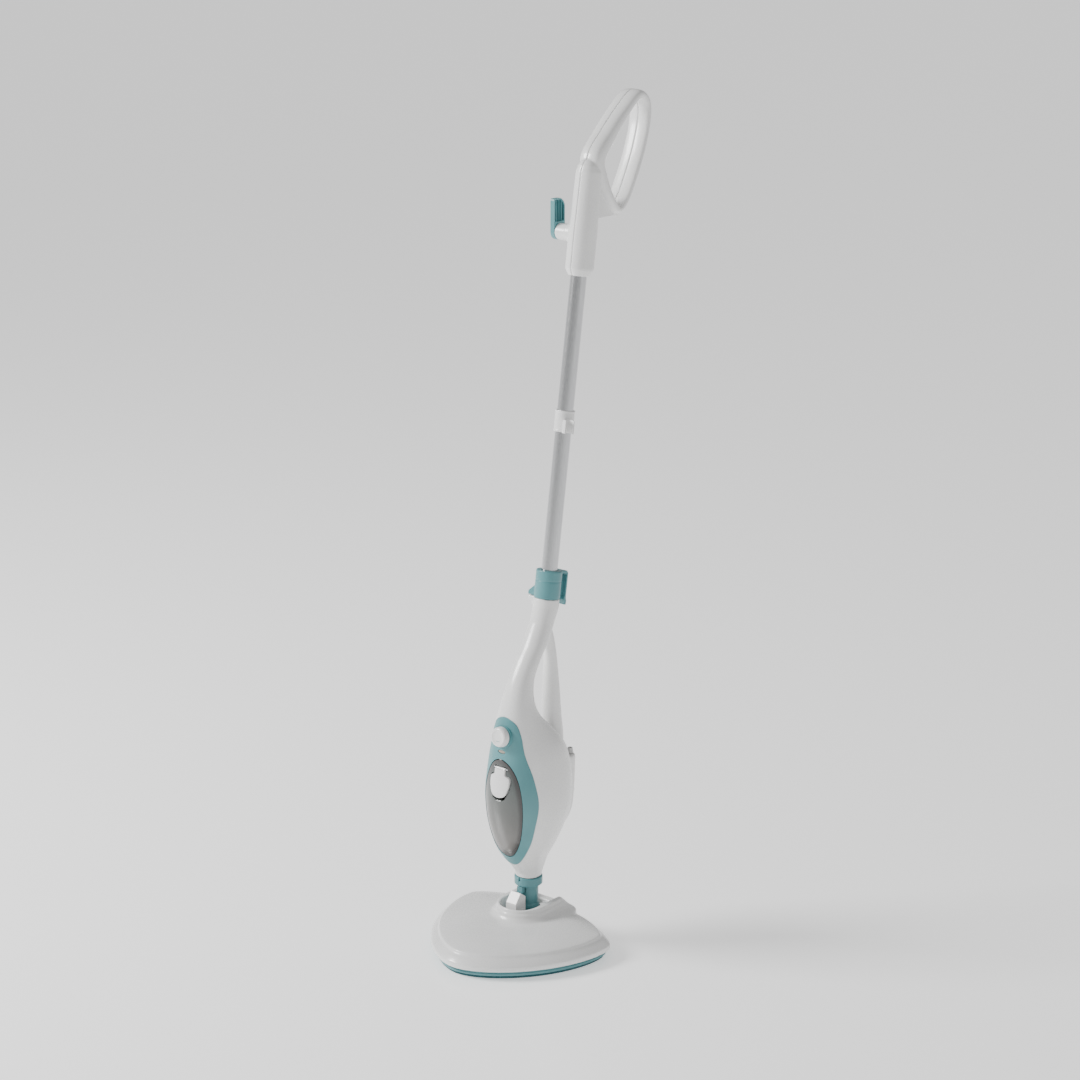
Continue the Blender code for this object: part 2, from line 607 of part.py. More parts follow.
def rear_region(offset):
    """Everything behind the seam between the two casings, moved by offset towards the rear."""
    seam = [(0.1100, 0.1290), (0.0240, 0.1290), (0.0340, 0.1500), (SEAM_REAR - 0.0020, 0.1900),
            (SEAM_REAR, 0.2700), (0.0300, 0.3050), (0.0060, 0.3350), (-0.0110, 0.3600), (-0.0040, 0.3855),
            (0.0095, 0.4105), (0.0265, 0.4344), (0.0400, 0.4600), (0.0500, 0.5100)]
    line = [Vector(p) for p in seam]
    moved = []
    for k, point in enumerate(line):
        before = (point - line[k - 1]).normalized() if k else (line[1] - line[0]).normalized()
        after = (line[k + 1] - point).normalized() if k < len(line) - 1 else before
        along = (before + after).normalized()
        moved.append(point + Vector((along.y, -along.x)) * offset)
    outline = [(p.x, p.y) for p in moved] + [(0.1400, 0.5100), (0.1400, moved[0].y)]
    return plate(outline, -0.12, 0.12, "X")


def mirrored(half):
    """A closed outline from its right half, listed from bottom to top."""
    return half + [(-x, z) for x, z in reversed(half) if abs(x) > 1e-6]


def bezel_outline(grow=0.0):
    low, high = 0.1220, 0.3415
    half = [(0.0, low), (0.0160, 0.1305), (0.0330, 0.1570), (0.0430, 0.1930), (0.0460, 0.2250),
            (0.0405, 0.2590), (0.0300, 0.2930), (0.0240, 0.3180), (0.0160, 0.3345), (0.0, high)]
    width = BODY_HALF_WIDTH / 0.0525
    closed = [(x * width, z) for x, z in mirrored(half)]
    path = [(p.x, p.y) for p in spline_through([(x, z, 0) for x, z in closed], 2, cyclic=True)]
    return grown(path, grow)


def grown(path, grow):
    """A closed outline moved outwards; it runs anticlockwise."""
    result = []
    for k, (u, v) in enumerate(path):
        before, after = path[k - 1], path[(k + 1) % len(path)]
        along = Vector((after[0] - before[0], after[1] - before[1])).normalized()
        result.append((u + along.y * grow, v - along.x * grow))
    return result


def tank_outline(grow=0.0, count=28):
    """An egg of two half ellipses: blunt above, longer below."""
    middle, up, down = 0.2160, 0.0670, 0.0790
    half_width = 0.0333 * BODY_HALF_WIDTH / 0.0525
    ring = []
    for k in range(count):
        angle = 2 * pi * k / count - pi / 2
        reach = (up if sin(angle) > 0 else down) + grow
        ring.append(((half_width + grow) * cos(angle), middle + reach * sin(angle)))
    return ring


def cap_frame():
    """The flap's own frame: its hinge at the origin, the flap hanging down along -Z."""
    return Matrix.Translation(CAP_HINGE) @ Matrix.Rotation(CAP_TILT, 4, "X")


def cap_outline(grow=0.0, drop=0.0):
    half = [(0.0, -0.0390 - drop), (0.0085, -0.0375 - drop), (0.0125, -0.0335), (0.0158, -0.0240),
            (0.0165, -0.0150), (0.0155, -0.0115), (0.0105, -0.0090), (0.0088, -0.0065), (0.0088, 0.0)]
    closed = mirrored(half)
    return grown([(x, z) for x, z in closed], grow)


def knob_frame():
    """The knob's axis stands square on the sloping panel."""
    surface = Vector((0.0, 0.0110 - BODY_HALF_DEPTH, KNOB_Z))
    return Matrix.Translation(surface) @ Matrix.Rotation(pi / 2 - KNOB_SLOPE, 4, "X")


def build_casings():
    front = place("front_casing", body_skin(), WHITE)
    # A beak on the left, under the collar's release button
    reach = COLLAR_R + 0.0115
    beak = [(0.0120, -0.0230), (COLLAR_R - 0.0015, -0.0220), (COLLAR_R + 0.0025, -0.0120),
            (reach - 0.0010, -0.0050), (reach, -0.0010), (0.0120, -0.0010)]
    beak_mesh = plate([(-x, z) for x, z in beak], -0.0060, 0.0060, "Y")
    join(front, "beak", beak_mesh, on_tube(0.0))
    inner = cutter("body_inside", body_skin(-WALL, overrun=0.02))
    combine(front, inner)
    cut(front, "rear_half", rear_region(-GAP / 2))
    cut(front, "panel_window", plate(bezel_outline(GAP), -0.12, -0.004))
    x, z = CASING_SCREW
    seat = SEAM_REAR + 0.0010           # front face of the rear casing's screw bosses
    outside = BODY_HALF_WIDTH * 0.745   # just inside the wall there
    for name, side in (("left", -1), ("right", 1)):
        low, high = sorted((side * (x - 0.0040), side * outside))
        rib = box((low, seat - 0.0125, z - 0.0040), (high, seat - 0.0025, z + 0.0040))
        join(front, f"screw_rib_{name}", rib)
        bore = cylinder(0.0015 + GAP, (side * x, seat - 0.02, z), (side * x, seat + 0.01, z), 12)
        cut(front, f"screw_rib_bore_{name}", bore)
        low, high = sorted((side * (BOILER_HALF - 0.0040), side * BODY_HALF_WIDTH * 0.715))
        rib = box((low, 0.0, BOILER_LOW - 0.0030), (high, 0.0100, BOILER_LOW - GAP))
        join(front, f"boiler_rib_{name}", rib)

    rear = place("rear_casing", body_skin(), WHITE)
    join(rear, "strut_solid", strut_skin())
    join(rear, "hump_solid", hump_skin())
    combine(rear, inner)
    cut(rear, "hump_inside", hump_skin(-WALL))
    cut(rear, "strut_inside", strut_skin(-WALL))
    keep = cutter("rear_keep", rear_region(GAP / 2))
    combine(rear, keep, "INTERSECT")
    for name, side in (("left", -1), ("right", 1)):
        spot = side * x
        boss = cylinder(0.0050, (spot, seat, z), (spot, HUMP_REAR - 0.0052, z), 20)
        join(rear, f"screw_boss_{name}", boss)
        bore = cylinder(0.0015 + GAP, (spot, seat - 0.01, z), (spot, HUMP_REAR + 0.02, z), 12)
        cut(rear, f"screw_boss_bore_{name}", bore)
        sink = cylinder(0.0035 + GAP, (spot, HUMP_REAR - 0.0097, z), (spot, HUMP_REAR + 0.02, z), 16)
        cut(rear, f"screw_boss_sink_{name}", sink)
        screw(f"casing_screw_{name}", (spot, HUMP_REAR - 0.0070, z), (0, -1, 0), 0.0035, 0.0015, 0.0290)
    web = PUMP.y + PUMP_R + MOUNT_WALL + GAP
    strip = box((-0.0050, web, PUMP.z + 0.0200), (0.0050, HUMP_REAR - 0.0042, PUMP.z + 0.0320))
    join(rear, "pump_web", strip)
    gland = Vector((0.0205, HUMP_REAR - 0.0082, HUMP_TOP))
    reach = Vector((0, 0, 0.01))
    cut(rear, "gland_bore", cylinder(0.0034 + GAP, gland - reach, gland + reach, 20))
    flange = GAP + 0.0002
    profile = [(0.0020, -0.0060), (0.0034, -0.0060), (0.0034, flange), (0.0045, flange), (0.0045, 0.0024),
               (0.0034, 0.0080), (0.0020, 0.0080)]
    place("cord_gland", turned(profile, 20), DARK, Matrix.Translation(gland))


def build_panel():
    frame = knob_frame()
    bezel = place("front_bezel", body_skin(0.0003), TEAL)
    join(bezel, "knob_seat", cylinder(KNOB_R + 0.0012, (0, 0, -0.0070), (0, 0, 0.0004), 32), frame)
    combine(bezel, cutter("panel_solid", plate(bezel_outline(), -0.12, -0.004)), "INTERSECT")
    combine(bezel, cutter("panel_inside", body_skin(-0.0022, overrun=0.02)))
    cut(bezel, "tank_window", plate(tank_outline(GAP), -0.12, 0.0))
    cut(bezel, "knob_bore", cylinder(SHAFT_R + GAP, (0, 0, -0.02), (0, 0, 0.02), 20), frame)
    lamp = [(0.0062 * cos(a), 0.2935 + 0.0022 * sin(a)) for a in (2 * pi * k / 20 for k in range(20))]
    cut(bezel, "lamp_window", plate(grown(lamp, GAP), -0.12, 0.0))
    lens = place("pilot_lens", body_skin(0.0008), LENS)
    combine(lens, cutter("lamp_solid", plate(lamp, -0.12, -0.004)), "INTERSECT")
    combine(lens, cutter("lamp_inside", body_skin(-0.0030, overrun=0.02)))

    profile = [(0.0040, 0.0012), (KNOB_R - 0.0004, 0.0012), (KNOB_R, 0.0020),
               (KNOB_R - 0.0006, KNOB_HEIGHT - 0.0020), (KNOB_R - 0.0024, KNOB_HEIGHT),
               (0.0040, KNOB_HEIGHT - 0.0006)]
    knob = place("steam_knob", solid_turned(profile, 28), WHITE, frame, origin=frame.translation)
    tab = [(-KNOB_R + 0.0020, 0.0028), (-KNOB_R + 0.0020, -0.0028), (-KNOB_R - 0.0022, 0.0)]
    join(knob, "knob_pointer", plate(tab, 0.0030, KNOB_HEIGHT - 0.0035, "Z"), frame)
    cut(knob, "shaft_socket", cylinder(SHAFT_R + GAP, (0, 0, -0.005), (0, 0, 0.0060), 20), frame)
    profile = [(0.0030, -0.0160), (0.0070, -0.0160), (0.0070, -0.0050), (SHAFT_R, -0.0045), (SHAFT_R, 0.0055)]
    place("valve_shaft", solid_turned(profile, 16), BRASS, frame, origin=frame.translation)


def build_tank():
    tank = place("water_tank", body_skin(0.0008), SMOKE)
    combine(tank, cutter("tank_solid", plate(tank_outline(), -0.12, TANK_BACK)), "INTERSECT")
    inside = cutter("tank_inside", body_skin(-0.0040))
    combine(inside, cutter("tank_inside_limit", plate(tank_outline(-0.0030), -0.12, TANK_BACK - 0.0030)),
            "INTERSECT")
    frame = cap_frame()
    cut(tank, "cap_recess", plate(cap_outline(0.0012, 0.0035), -0.03, BARREL_R + GAP), frame)
    cut(tank, "cap_recess_top", box((-0.0100, -0.03, -0.004), (0.0100, BARREL_R + GAP, 0.0034)), frame)
    combine(tank, inside)
    hole = 0.0075
    cut(tank, "filler_hole", cylinder(hole, (0, -0.01, -0.0210), (0, 0.010, -0.0210), 24), frame)
    cut(tank, "cap_pin_bore", cylinder(CAP_PIN_R + 0.0001, (-0.0130, 0, 0), (0.0130, 0, 0), 12), frame)
    ends = [(0, TANK_BACK + reach, OUTLET_Z) for reach in (-0.01, 0.01)]
    cut(tank, "outlet_bore", cylinder(0.0032, *ends, 16))

    cap = place("tank_cap", body_skin(0.0022), WHITE, origin=CAP_HINGE)
    combine(cap, cutter("cap_solid", plate(cap_outline(), -0.03, BARREL_R), frame), "INTERSECT")
    join(cap, "cap_barrel", cylinder(BARREL_R, (-0.0088, 0, 0), (0.0088, 0, 0), 20), frame)
    cut(cap, "cap_barrel_bore", cylinder(CAP_PIN_R + 0.0002, (-0.02, 0, 0), (0.02, 0, 0), 12), frame)
    place("cap_hinge_pin", cylinder(CAP_PIN_R, (-0.0120, 0, 0), (0.0120, 0, 0), 12), STEEL, frame)
    profile = [(0.0040, 0.0001), (hole - 0.0008, 0.0001), (hole - 0.0004, 0.0020), (hole - 0.0012, 0.0050),
               (0.0030, 0.0050)]
    seat = frame @ Matrix.Translation((0, BARREL_R + 0.0002, -0.0210)) @ Matrix.Rotation(-pi / 2, 4, "X")
    place("cap_seal", solid_turned(profile, 24), RUBBER, seat, origin=CAP_HINGE)


def build_inside():
    """The boiler, pump, thermostat and pipes behind the tank."""
    boiler_back = 0.0180
    block = box((-BOILER_HALF, -0.0090, BOILER_LOW), (BOILER_HALF, boiler_back, BOILER_TOP), 0.004)
    place("boiler", block, CAST)
    place("thermostat", cylinder(0.0085, (0, boiler_back + 0.0004, 0.2150), (0, 0.0250, 0.2150), 24), STEEL)
    place("pump", cylinder(PUMP_R, PUMP, PUMP + Vector((0, 0, PUMP_LENGTH)), 24, 0.001), DARK)
    sleeve = [(PUMP_R + GAP, 0.0), (PUMP_R + MOUNT_WALL, 0.0), (PUMP_R + MOUNT_WALL, 0.0120),
              (PUMP_R + GAP, 0.0120)]
    place("pump_mount", turned(sleeve, 24), RUBBER, Matrix.Translation(PUMP + Vector((0, 0, 0.0200))))

    route = [(0, TANK_BACK - 0.0045, OUTLET_Z), (0, TANK_BACK + 0.0050, OUTLET_Z), (0, 0.0060, OUTLET_Z),
             (0, 0.0260, 0.1540), (0, 0.0400, 0.1660), PUMP - Vector((0, 0, 0.0010))]
    place("tank_hose", rod(route, 0.0026), SILICONE)
    top = PUMP + Vector((0, 0, PUMP_LENGTH + 0.0004))
    route = [top, top + Vector((0, -0.0010, 0.0120)), (0, 0.0240, 0.2560), (0, 0.0065, 0.2480),
             (0, 0.0050, BOILER_TOP + 0.0004)]
    place("feed_hose", rod(route, 0.0022), SILICONE)
    route = [(0.0120, 0.0050, BOILER_LOW - 0.0004), (0.0115, 0.0040, 0.1380), (0.0020, 0.0010, 0.1240),
             (0, 0, 0.1125)]
    place("steam_pipe", rod(route, 0.0030), BRASS)

    low, shoulder = RING_TOP - 0.0140, SPOUT_R - WALL - 0.0006
    groove = NOZZLE_R - 0.0008
    profile = [(0.0020, low), (NOZZLE_R, low), (NOZZLE_R, RING_TOP - 0.0100), (groove, RING_TOP - 0.0100),
               (groove, RING_TOP - 0.0078), (NOZZLE_R, RING_TOP - 0.0078), (NOZZLE_R, RING_TOP + 0.0060),
               (shoulder, RING_TOP + 0.0060), (shoulder, RING_TOP + 0.0090), (0.0050, RING_TOP + 0.0090),
               (0.0050, RING_TOP + 0.0155), (0.0020, RING_TOP + 0.0155)]
    place("steam_nozzle", turned(profile, 18), BRASS)
    ring_r = 0.0008
    middle = groove + GAP / 2 + ring_r
    profile = [(middle + ring_r * cos(a), RING_TOP - 0.0089 + ring_r * sin(a))
               for a in (2 * pi * k / 6 for k in range(6))]
    place("nozzle_seal", turned(profile, 18), RUBBER)


# ---------------------------------------------------------------- collar, tube and clip
def build_collar():
    frame = on_tube(0.0)
    bore = TUBE_R + GAP
    profile = [(bore, 0.0), (COLLAR_R - 0.0004, 0.0), (COLLAR_R, 0.0006), (COLLAR_R, COLLAR_LENGTH - 0.0008),
               (COLLAR_R - 0.0008, COLLAR_LENGTH), (bore, COLLAR_LENGTH)]
    collar = place("tube_collar", turned(profile, 32), TEAL, frame)
    # Cord hook behind the collar: a bridge at the top and a tongue that hangs down
    inner, outer, tip = COLLAR_R + 0.0080, COLLAR_R + 0.0112, -0.0105
    top = COLLAR_LENGTH - 0.0010
    hook = [(COLLAR_R - 0.003, top), (COLLAR_R - 0.003, top - 0.0032), (inner - 0.0018, top - 0.0032),
            (inner, top - 0.0055), (inner, 0.0040), (inner - 0.0020, -0.0030), (inner + 0.0010, tip),
            (inner + 0.0040, tip), (outer + 0.0016, -0.0060), (outer, 0.0), (outer, top - 0.0035),
            (outer - 0.0030, top)]
    join(collar, "collar_hook", plate(hook, -0.0105, 0.0105, "X"), frame)
    # Pocket on the left for the release button
    pocket = box((-COLLAR_R - 0.02, -0.0052, -0.01), (-TUBE_R - 0.0015, 0.0052, 0.0155))
    cut(collar, "release_pocket", pocket, frame)
    low, inner_face = 0.0002, -COLLAR_R + 0.0025
    tip_x = -COLLAR_R - 0.0115
    shape = [(inner_face, low), (inner_face, 0.0150), (-COLLAR_R - 0.0005, 0.0150), (tip_x, 0.0052),
             (tip_x, low)]
    button = place("release_button", plate(shape, -0.0048, 0.0048, "Y"), TEAL, frame)
    height = 0.0072
    cut(button, "release_bore", cylinder(0.0026, (inner_face - 0.0080, 0, height), (0, 0, height), 16), frame)
    ends = [frame @ Vector((x, 0, height)) for x in (inner_face - 0.0050, -TUBE_R - 0.0018)]
    place("release_spring", coil(0.0020, 0.0002, ends[0], ends[1], 4), STEEL)


def build_tube():
    end = STEM_START + SOCKET_DEPTH
    inner = TUBE_R - TUBE_WALL
    profile = [(inner, TUBE_START), (TUBE_R, TUBE_START), (TUBE_R, end), (inner, end)]
    place("aluminium_tube", turned(profile, 32), ALUMINIUM, on_tube(0.0))
    profile = [(0.0030, -0.0060), (inner - 0.002, -0.0060), (TUBE_R, -0.0030), (TUBE_R, -GAP),
               (inner - GAP, -GAP), (inner - GAP, 0.0200), (0.0030, 0.0200)]
    place("tube_plug", turned(profile, 24), WHITE, on_tube(TUBE_START))

    frame = on_tube(CLIP_AT)
    outer = TUBE_R + 0.0022
    profile = [(TUBE_R + GAP, 0.0), (outer, 0.0), (outer, CLIP_HEIGHT), (TUBE_R + GAP, CLIP_HEIGHT)]
    clip = place("cord_clip", turned(profile, 32), WHITE, frame)
    centre, jaw = outer + 0.0068, 0.0060
    wall = 0.0017
    arc = [radians(a) for a in range(48, 313, 22)]
    channel = [(centre + (jaw + wall) * cos(a), (jaw + wall) * sin(a)) for a in arc]
    channel += [(centre + jaw + 0.0028, -jaw - 0.0006), (centre + jaw + 0.0020, -jaw + 0.0012)]
    channel += [(centre + jaw * cos(a), jaw * sin(a)) for a in reversed(arc)]
    channel += [(centre + jaw + 0.0020, jaw - 0.0012), (centre + jaw + 0.0028, jaw + 0.0006)]
    swung = frame @ Matrix.Rotation(CLIP_SWING, 4, "Z")
    join(clip, "clip_channel", plate(channel, 0.0, CLIP_HEIGHT * 0.62, "Z"), swung)
    cut(clip, "clip_channel_bore", cylinder(TUBE_R + GAP + 0.0002, (0, 0, -0.01), (0, 0, 0.05), 32), frame)


# ---------------------------------------------------------------- upper handle
def loop_rings():
    """The D loop: y, z and half thickness along its middle line, as a closed row of sections."""
    middle = [(0.1340, 1.0770, 0.0125), (0.1580, 1.1060, 0.0105), (0.1870, 1.1340, 0.0085),
              (0.2170, 1.1560, 0.0068), (0.2345, 1.1440, 0.0060), (0.2350, 1.1180, 0.0056),
              (0.2245, 1.0830, 0.0056), (0.2080, 1.0480, 0.0056), (0.1900, 1.0180, 0.0056),
              (0.1740, 1.0065, 0.0062), (0.1570, 1.0230, 0.0072), (0.1420, 1.0500, 0.0095)]
    path = spline_through(middle, 2, cyclic=True)
    count = 12
    rings = []
    for k, point in enumerate(path):
        ahead, behind = path[(k + 1) % len(path)], path[k - 1]
        along = Vector((ahead.x - behind.x, ahead.y - behind.y)).normalized()
        out = Vector((along.y, -along.x))
        ring = []
        for j in range(count):
            angle = 2 * pi * j / count
            c, s = cos(angle), sin(angle)
            across = LOOP_HALF * abs(s) ** 0.75 * (1 if s >= 0 else -1)
            reach = point.z * abs(c) ** 0.75 * (1 if c >= 0 else -1)
            ring.append((across, point.x + out.x * reach, point.y + out.y * reach))
        rings.append(ring)
    return rings


def stem_mesh():
    radius = STEM_R + 0.0008
    low, high = STEM_START, STEM_START + STEM_LENGTH
    profile = [(TUBE_R + 0.0030, low), (radius, low + 0.0085), (radius, low + 0.060), (STEM_R, low + 0.085),
               (STEM_R - 0.0010, high - 0.0180), (STEM_R - 0.0060, high - 0.0040), (STEM_R - 0.0120, high)]
    return solid_turned(profile, 32)


def handle_solid(name):
    """The whole handle as one solid; the two halves are cut from it."""
    handle = place(name, stem_mesh(), WHITE, on_tube(0.0))
    join(handle, name + "_loop", loft(loop_rings(), cyclic=True))
    web = [(0.1200, 0.9975), (0.1790, 0.9975), (0.1740, 1.0065), (0.1570, 1.0230), (0.1420, 1.0500),
           (0.1250, 1.0500)]
    join(handle, name + "_web", plate(web, -0.0080, 0.0080, "X"))
    frame = on_tube(PEG_AT)
    peg = cylinder(PEG_R, (-PEG_END + GAP, 0, 0), (-0.004, 0, 0), 24, 0.0008)
    join(handle, name + "_peg", peg, frame)
    socket = cylinder(TUBE_R + GAP, (0, 0, 0.3), (0, 0, STEM_START + SOCKET_DEPTH + GAP), 32)
    cut(handle, name + "_socket", socket, on_tube(0.0))
    return handle


def build_handle():
    for name, side in (("handle_left", -1), ("handle_right", 1)):
        half = handle_solid(name)
        low, high = sorted((side * GAP / 2, side * 0.2))
        keep = cutter(name + "_keep", box((low, -0.1, 0.8), (high, 0.5, 1.3)))
        combine(half, keep, "INTERSECT")
        for k, (y, z) in enumerate(HANDLE_SCREWS):
            cut(half, f"{name}_bore_{k}", cylinder(0.0015 + GAP, (-0.0090, y, z), (0.0090, y, z), 12))
            if side < 0:
                cut(half, f"{name}_sink_{k}", cylinder(0.0034 + GAP, (-0.06, y, z), (-0.0070, y, z), 16))
        if side < 0:
            peg = on_tube(PEG_AT)
            cut(half, "peg_bore", cylinder(0.0015 + GAP, (-0.06, 0, 0), (-0.0180, 0, 0), 12), peg)
    for k, (y, z) in enumerate(HANDLE_SCREWS, 1):
        screw(f"handle_screw_{k}", (-0.0098, y, z), (1, 0, 0), 0.0034, 0.0015, 0.0180)


def build_hook():
    """The cord hook turns on the end of the peg, so that a wound cord drops off."""
    frame = on_tube(PEG_AT)
    upright = Matrix.Translation(frame.translation)
    low, high, half = -PEG_R, HOOK_HEIGHT - PEG_R, PEG_R
    outline = [(half * cos(a), half * sin(a)) for a in (pi + pi * k / 10 for k in range(11))]
    outline += [(half, high - 0.0120), (half - 0.0022, high - 0.0055), (half - 0.0065, high - 0.0015),
                (0.0, high), (-half + 0.0025, high), (-half, high - 0.0030)]
    start, end = -PEG_END - HOOK_THICK, -PEG_END
    hook = place("cord_hook", plate(outline, start, end, "X"), TEAL, upright, origin=frame.translation)
    pocket = grown(outline, -0.0022)
    pocket = [(y, z) for y, z in pocket if z > PEG_R + 0.0020]
    pocket = [(-half + 0.0022, PEG_R + 0.0020), (half - 0.0022, PEG_R + 0.0020)] + pocket
    cut(hook, "hook_pocket", plate(pocket, start + 0.0022, end + 0.01, "X"), upright)
    for k in range(3):
        y = -0.0050 + 0.0050 * k
        rib = box((start + 0.001, y - 0.0006, PEG_R), (end - 0.0012, y + 0.0006, high - 0.0030))
        join(hook, f"hook_rib_{k}", rib, upright)
    cut(hook, "hook_bore", cylinder(0.0015 + RUN, (-0.08, 0, 0), (0.0, 0, 0), 16), upright)
    cut(hook, "hook_sink", cylinder(0.0036, (-0.08, 0, 0), (start + 0.0028, 0, 0), 20), upright)
    screw("hook_screw", frame.translation + Vector((start + 0.0002, 0, 0)), (1, 0, 0), 0.0032, 0.0015, 0.0260)


build_head()
build_bearings()
build_yoke()
build_neck()
build_casings()
build_panel()
build_tank()
build_inside()
build_collar()
build_tube()
build_handle()
build_hook()
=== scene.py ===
import json
from math import atan2, cos, pi, radians, sin

import bmesh
import bpy
from mathutils import Matrix, Vector, noise


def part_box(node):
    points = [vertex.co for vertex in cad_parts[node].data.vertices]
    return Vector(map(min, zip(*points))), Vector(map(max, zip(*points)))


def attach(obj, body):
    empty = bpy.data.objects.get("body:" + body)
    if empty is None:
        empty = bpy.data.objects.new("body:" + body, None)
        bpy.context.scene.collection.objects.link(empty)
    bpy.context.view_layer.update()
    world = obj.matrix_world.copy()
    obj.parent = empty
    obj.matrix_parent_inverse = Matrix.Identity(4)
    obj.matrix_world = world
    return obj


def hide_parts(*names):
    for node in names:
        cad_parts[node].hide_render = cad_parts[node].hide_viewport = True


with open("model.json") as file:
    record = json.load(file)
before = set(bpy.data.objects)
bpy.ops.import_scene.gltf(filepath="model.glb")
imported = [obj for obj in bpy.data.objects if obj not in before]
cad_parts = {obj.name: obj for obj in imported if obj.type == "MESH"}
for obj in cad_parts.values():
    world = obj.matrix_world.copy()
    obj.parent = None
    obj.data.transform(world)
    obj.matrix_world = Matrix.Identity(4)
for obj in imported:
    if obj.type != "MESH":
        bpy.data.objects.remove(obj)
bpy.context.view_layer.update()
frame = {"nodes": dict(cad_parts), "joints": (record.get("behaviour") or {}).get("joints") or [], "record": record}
cadNodes = frame["nodes"]
jointSpot = {joint["name"]: Vector(joint.get("pos_m", (0, 0, 0))) for joint in frame["joints"]}
print("frame loaded:", len(cadNodes), "nodes")

seam = 0.0003       # gap between two mouldings that meet


# ---- mesh helpers ----

def curvePoints(points, steps, closed=False):
    # a smooth line through the points; works on 3 or 4 numbers a point
    points = [Vector(point) for point in points]
    total = len(points)
    line = []
    for k in range(total if closed else total - 1):
        if closed:
            a, b, c, d = (points[(k + i) % total] for i in (-1, 0, 1, 2))
        else:
            a, b, c, d = (points[min(max(k + i, 0), total - 1)] for i in (-1, 0, 1, 2))
        for step in range(steps):
            t = step / steps
            line.append(0.5 * (2 * b + (c - a) * t + (2 * a - 5 * b + 4 * c - d) * t ** 2
                               + (3 * b - a - 3 * c + d) * t ** 3))
    if not closed:
        line.append(points[-1])
    return line


def newPiece(bm, name, place=None):
    bmesh.ops.remove_doubles(bm, verts=bm.verts, dist=1e-6)
    bmesh.ops.recalc_face_normals(bm, faces=bm.faces)
    if place:
        bmesh.ops.transform(bm, matrix=place, verts=bm.verts)
    mesh = bpy.data.meshes.new(name)
    bm.to_mesh(mesh)
    bm.free()
    piece = bpy.data.objects.new(name, mesh)
    bpy.context.scene.collection.objects.link(piece)
    return piece


def lofted(name, rings, closed=False, place=None):
    # bridges a row of rings that have the same number of points
    bm = bmesh.new()
    loops = []
    for ring in rings:
        verts = bmesh.ops.create_circle(bm, segments=len(ring), radius=1)["verts"]
        for vert, spot in zip(verts, ring):
            vert.co = spot
        loops.append(list(dict.fromkeys(edge for vert in verts for edge in vert.link_edges)))
    pairs = list(zip(loops, loops[1:]))
    if closed:
        pairs.append((loops[-1], loops[0]))
    for low, high in pairs:
        bmesh.ops.bridge_loops(bm, edges=low + high)
    if not closed:
        bmesh.ops.contextual_create(bm, geom=loops[0])
        bmesh.ops.contextual_create(bm, geom=loops[-1])
    return newPiece(bm, name, place)


def spun(name, profile, sides=96, place=None):
    # profile is (radius, height); it is a closed loop unless it starts and ends on the axis
    bm = bmesh.new()
    verts = [bm.verts.new((r, 0, z)) for r, z in profile]
    edges = [bm.edges.new(pair) for pair in zip(verts, verts[1:])]
    if profile[0][0] > 0:
        edges.append(bm.edges.new((verts[-1], verts[0])))
    bmesh.ops.spin(bm, geom=verts + edges, cent=(0, 0, 0), axis=(0, 0, 1), angle=2 * pi, steps=sides,
                   use_merge=True)
    return newPiece(bm, name, place)


def extruded(name, outline, low, high, axis="Y", place=None):
    spots = {"X": lambda u, v: (low, u, v), "Y": lambda u, v: (u, low, v), "Z": lambda u, v: (u, v, low)}
    way = {"X": (1, 0, 0), "Y": (0, 1, 0), "Z": (0, 0, 1)}[axis]
    bm = bmesh.new()
    verts = bmesh.ops.create_circle(bm, segments=len(outline), radius=1, cap_ends=True)["verts"]
    for vert, (u, v) in zip(verts, outline):
        vert.co = spots[axis](u, v)
    grown = bmesh.ops.extrude_face_region(bm, geom=bm.faces[:])["geom"]
    moved = [item for item in grown if isinstance(item, bmesh.types.BMVert)]
    bmesh.ops.translate(bm, vec=Vector(way) * (high - low), verts=moved)
    if len(bm.faces) == len(outline) + 1:
        bmesh.ops.contextual_create(bm, geom=[edge for edge in bm.edges if edge.is_boundary])
    return newPiece(bm, name, place)


def block(name, low, high, place=None):
    low, high = Vector(low), Vector(high)
    bm = bmesh.new()
    bmesh.ops.create_cube(bm, size=1)
    bmesh.ops.scale(bm, vec=high - low, verts=bm.verts)
    bmesh.ops.translate(bm, vec=(high + low) / 2, verts=bm.verts)
    return newPiece(bm, name, place)


def bar(name, radius, start, end, sides=64, place=None):
    start, end = Vector(start), Vector(end)
    turn = (end - start).to_track_quat("Z", "Y").to_matrix().to_4x4()
    bm = bmesh.new()
    bmesh.ops.create_cone(bm, cap_ends=True, segments=sides, radius1=radius, radius2=radius,
                          depth=(end - start).length)
    bmesh.ops.transform(bm, matrix=Matrix.Translation((start + end) / 2) @ turn, verts=bm.verts)
    return newPiece(bm, name, place)


def applyAll(piece):
    bpy.context.view_layer.update()
    graph = bpy.context.evaluated_depsgraph_get()
    mesh = bpy.data.meshes.new_from_object(piece.evaluated_get(graph))
    piece.modifiers.clear()
    piece.data = mesh
    return piece


def worked(piece, tool, operation="DIFFERENCE", keepTool=False):
    step = piece.modifiers.new("step", "BOOLEAN")
    step.operation = operation
    step.object = tool
    step.solver = "EXACT"
    applyAll(piece)
    if not keepTool:
        bpy.data.objects.remove(tool)
    return piece


def bored(piece, radius, start, end, sides=64, place=None):
    return worked(piece, bar("bore", radius, start, end, sides, place))


def moulded(piece, cell, passes=4):
    # even quads with softly rounded edges, as plastic leaves a mould
    step = piece.modifiers.new("cells", "REMESH")
    step.mode = "VOXEL"
    step.voxel_size = cell
    step = piece.modifiers.new("rounds", "SMOOTH")
    step.factor = 0.5
    step.iterations = passes
    return applyAll(piece)


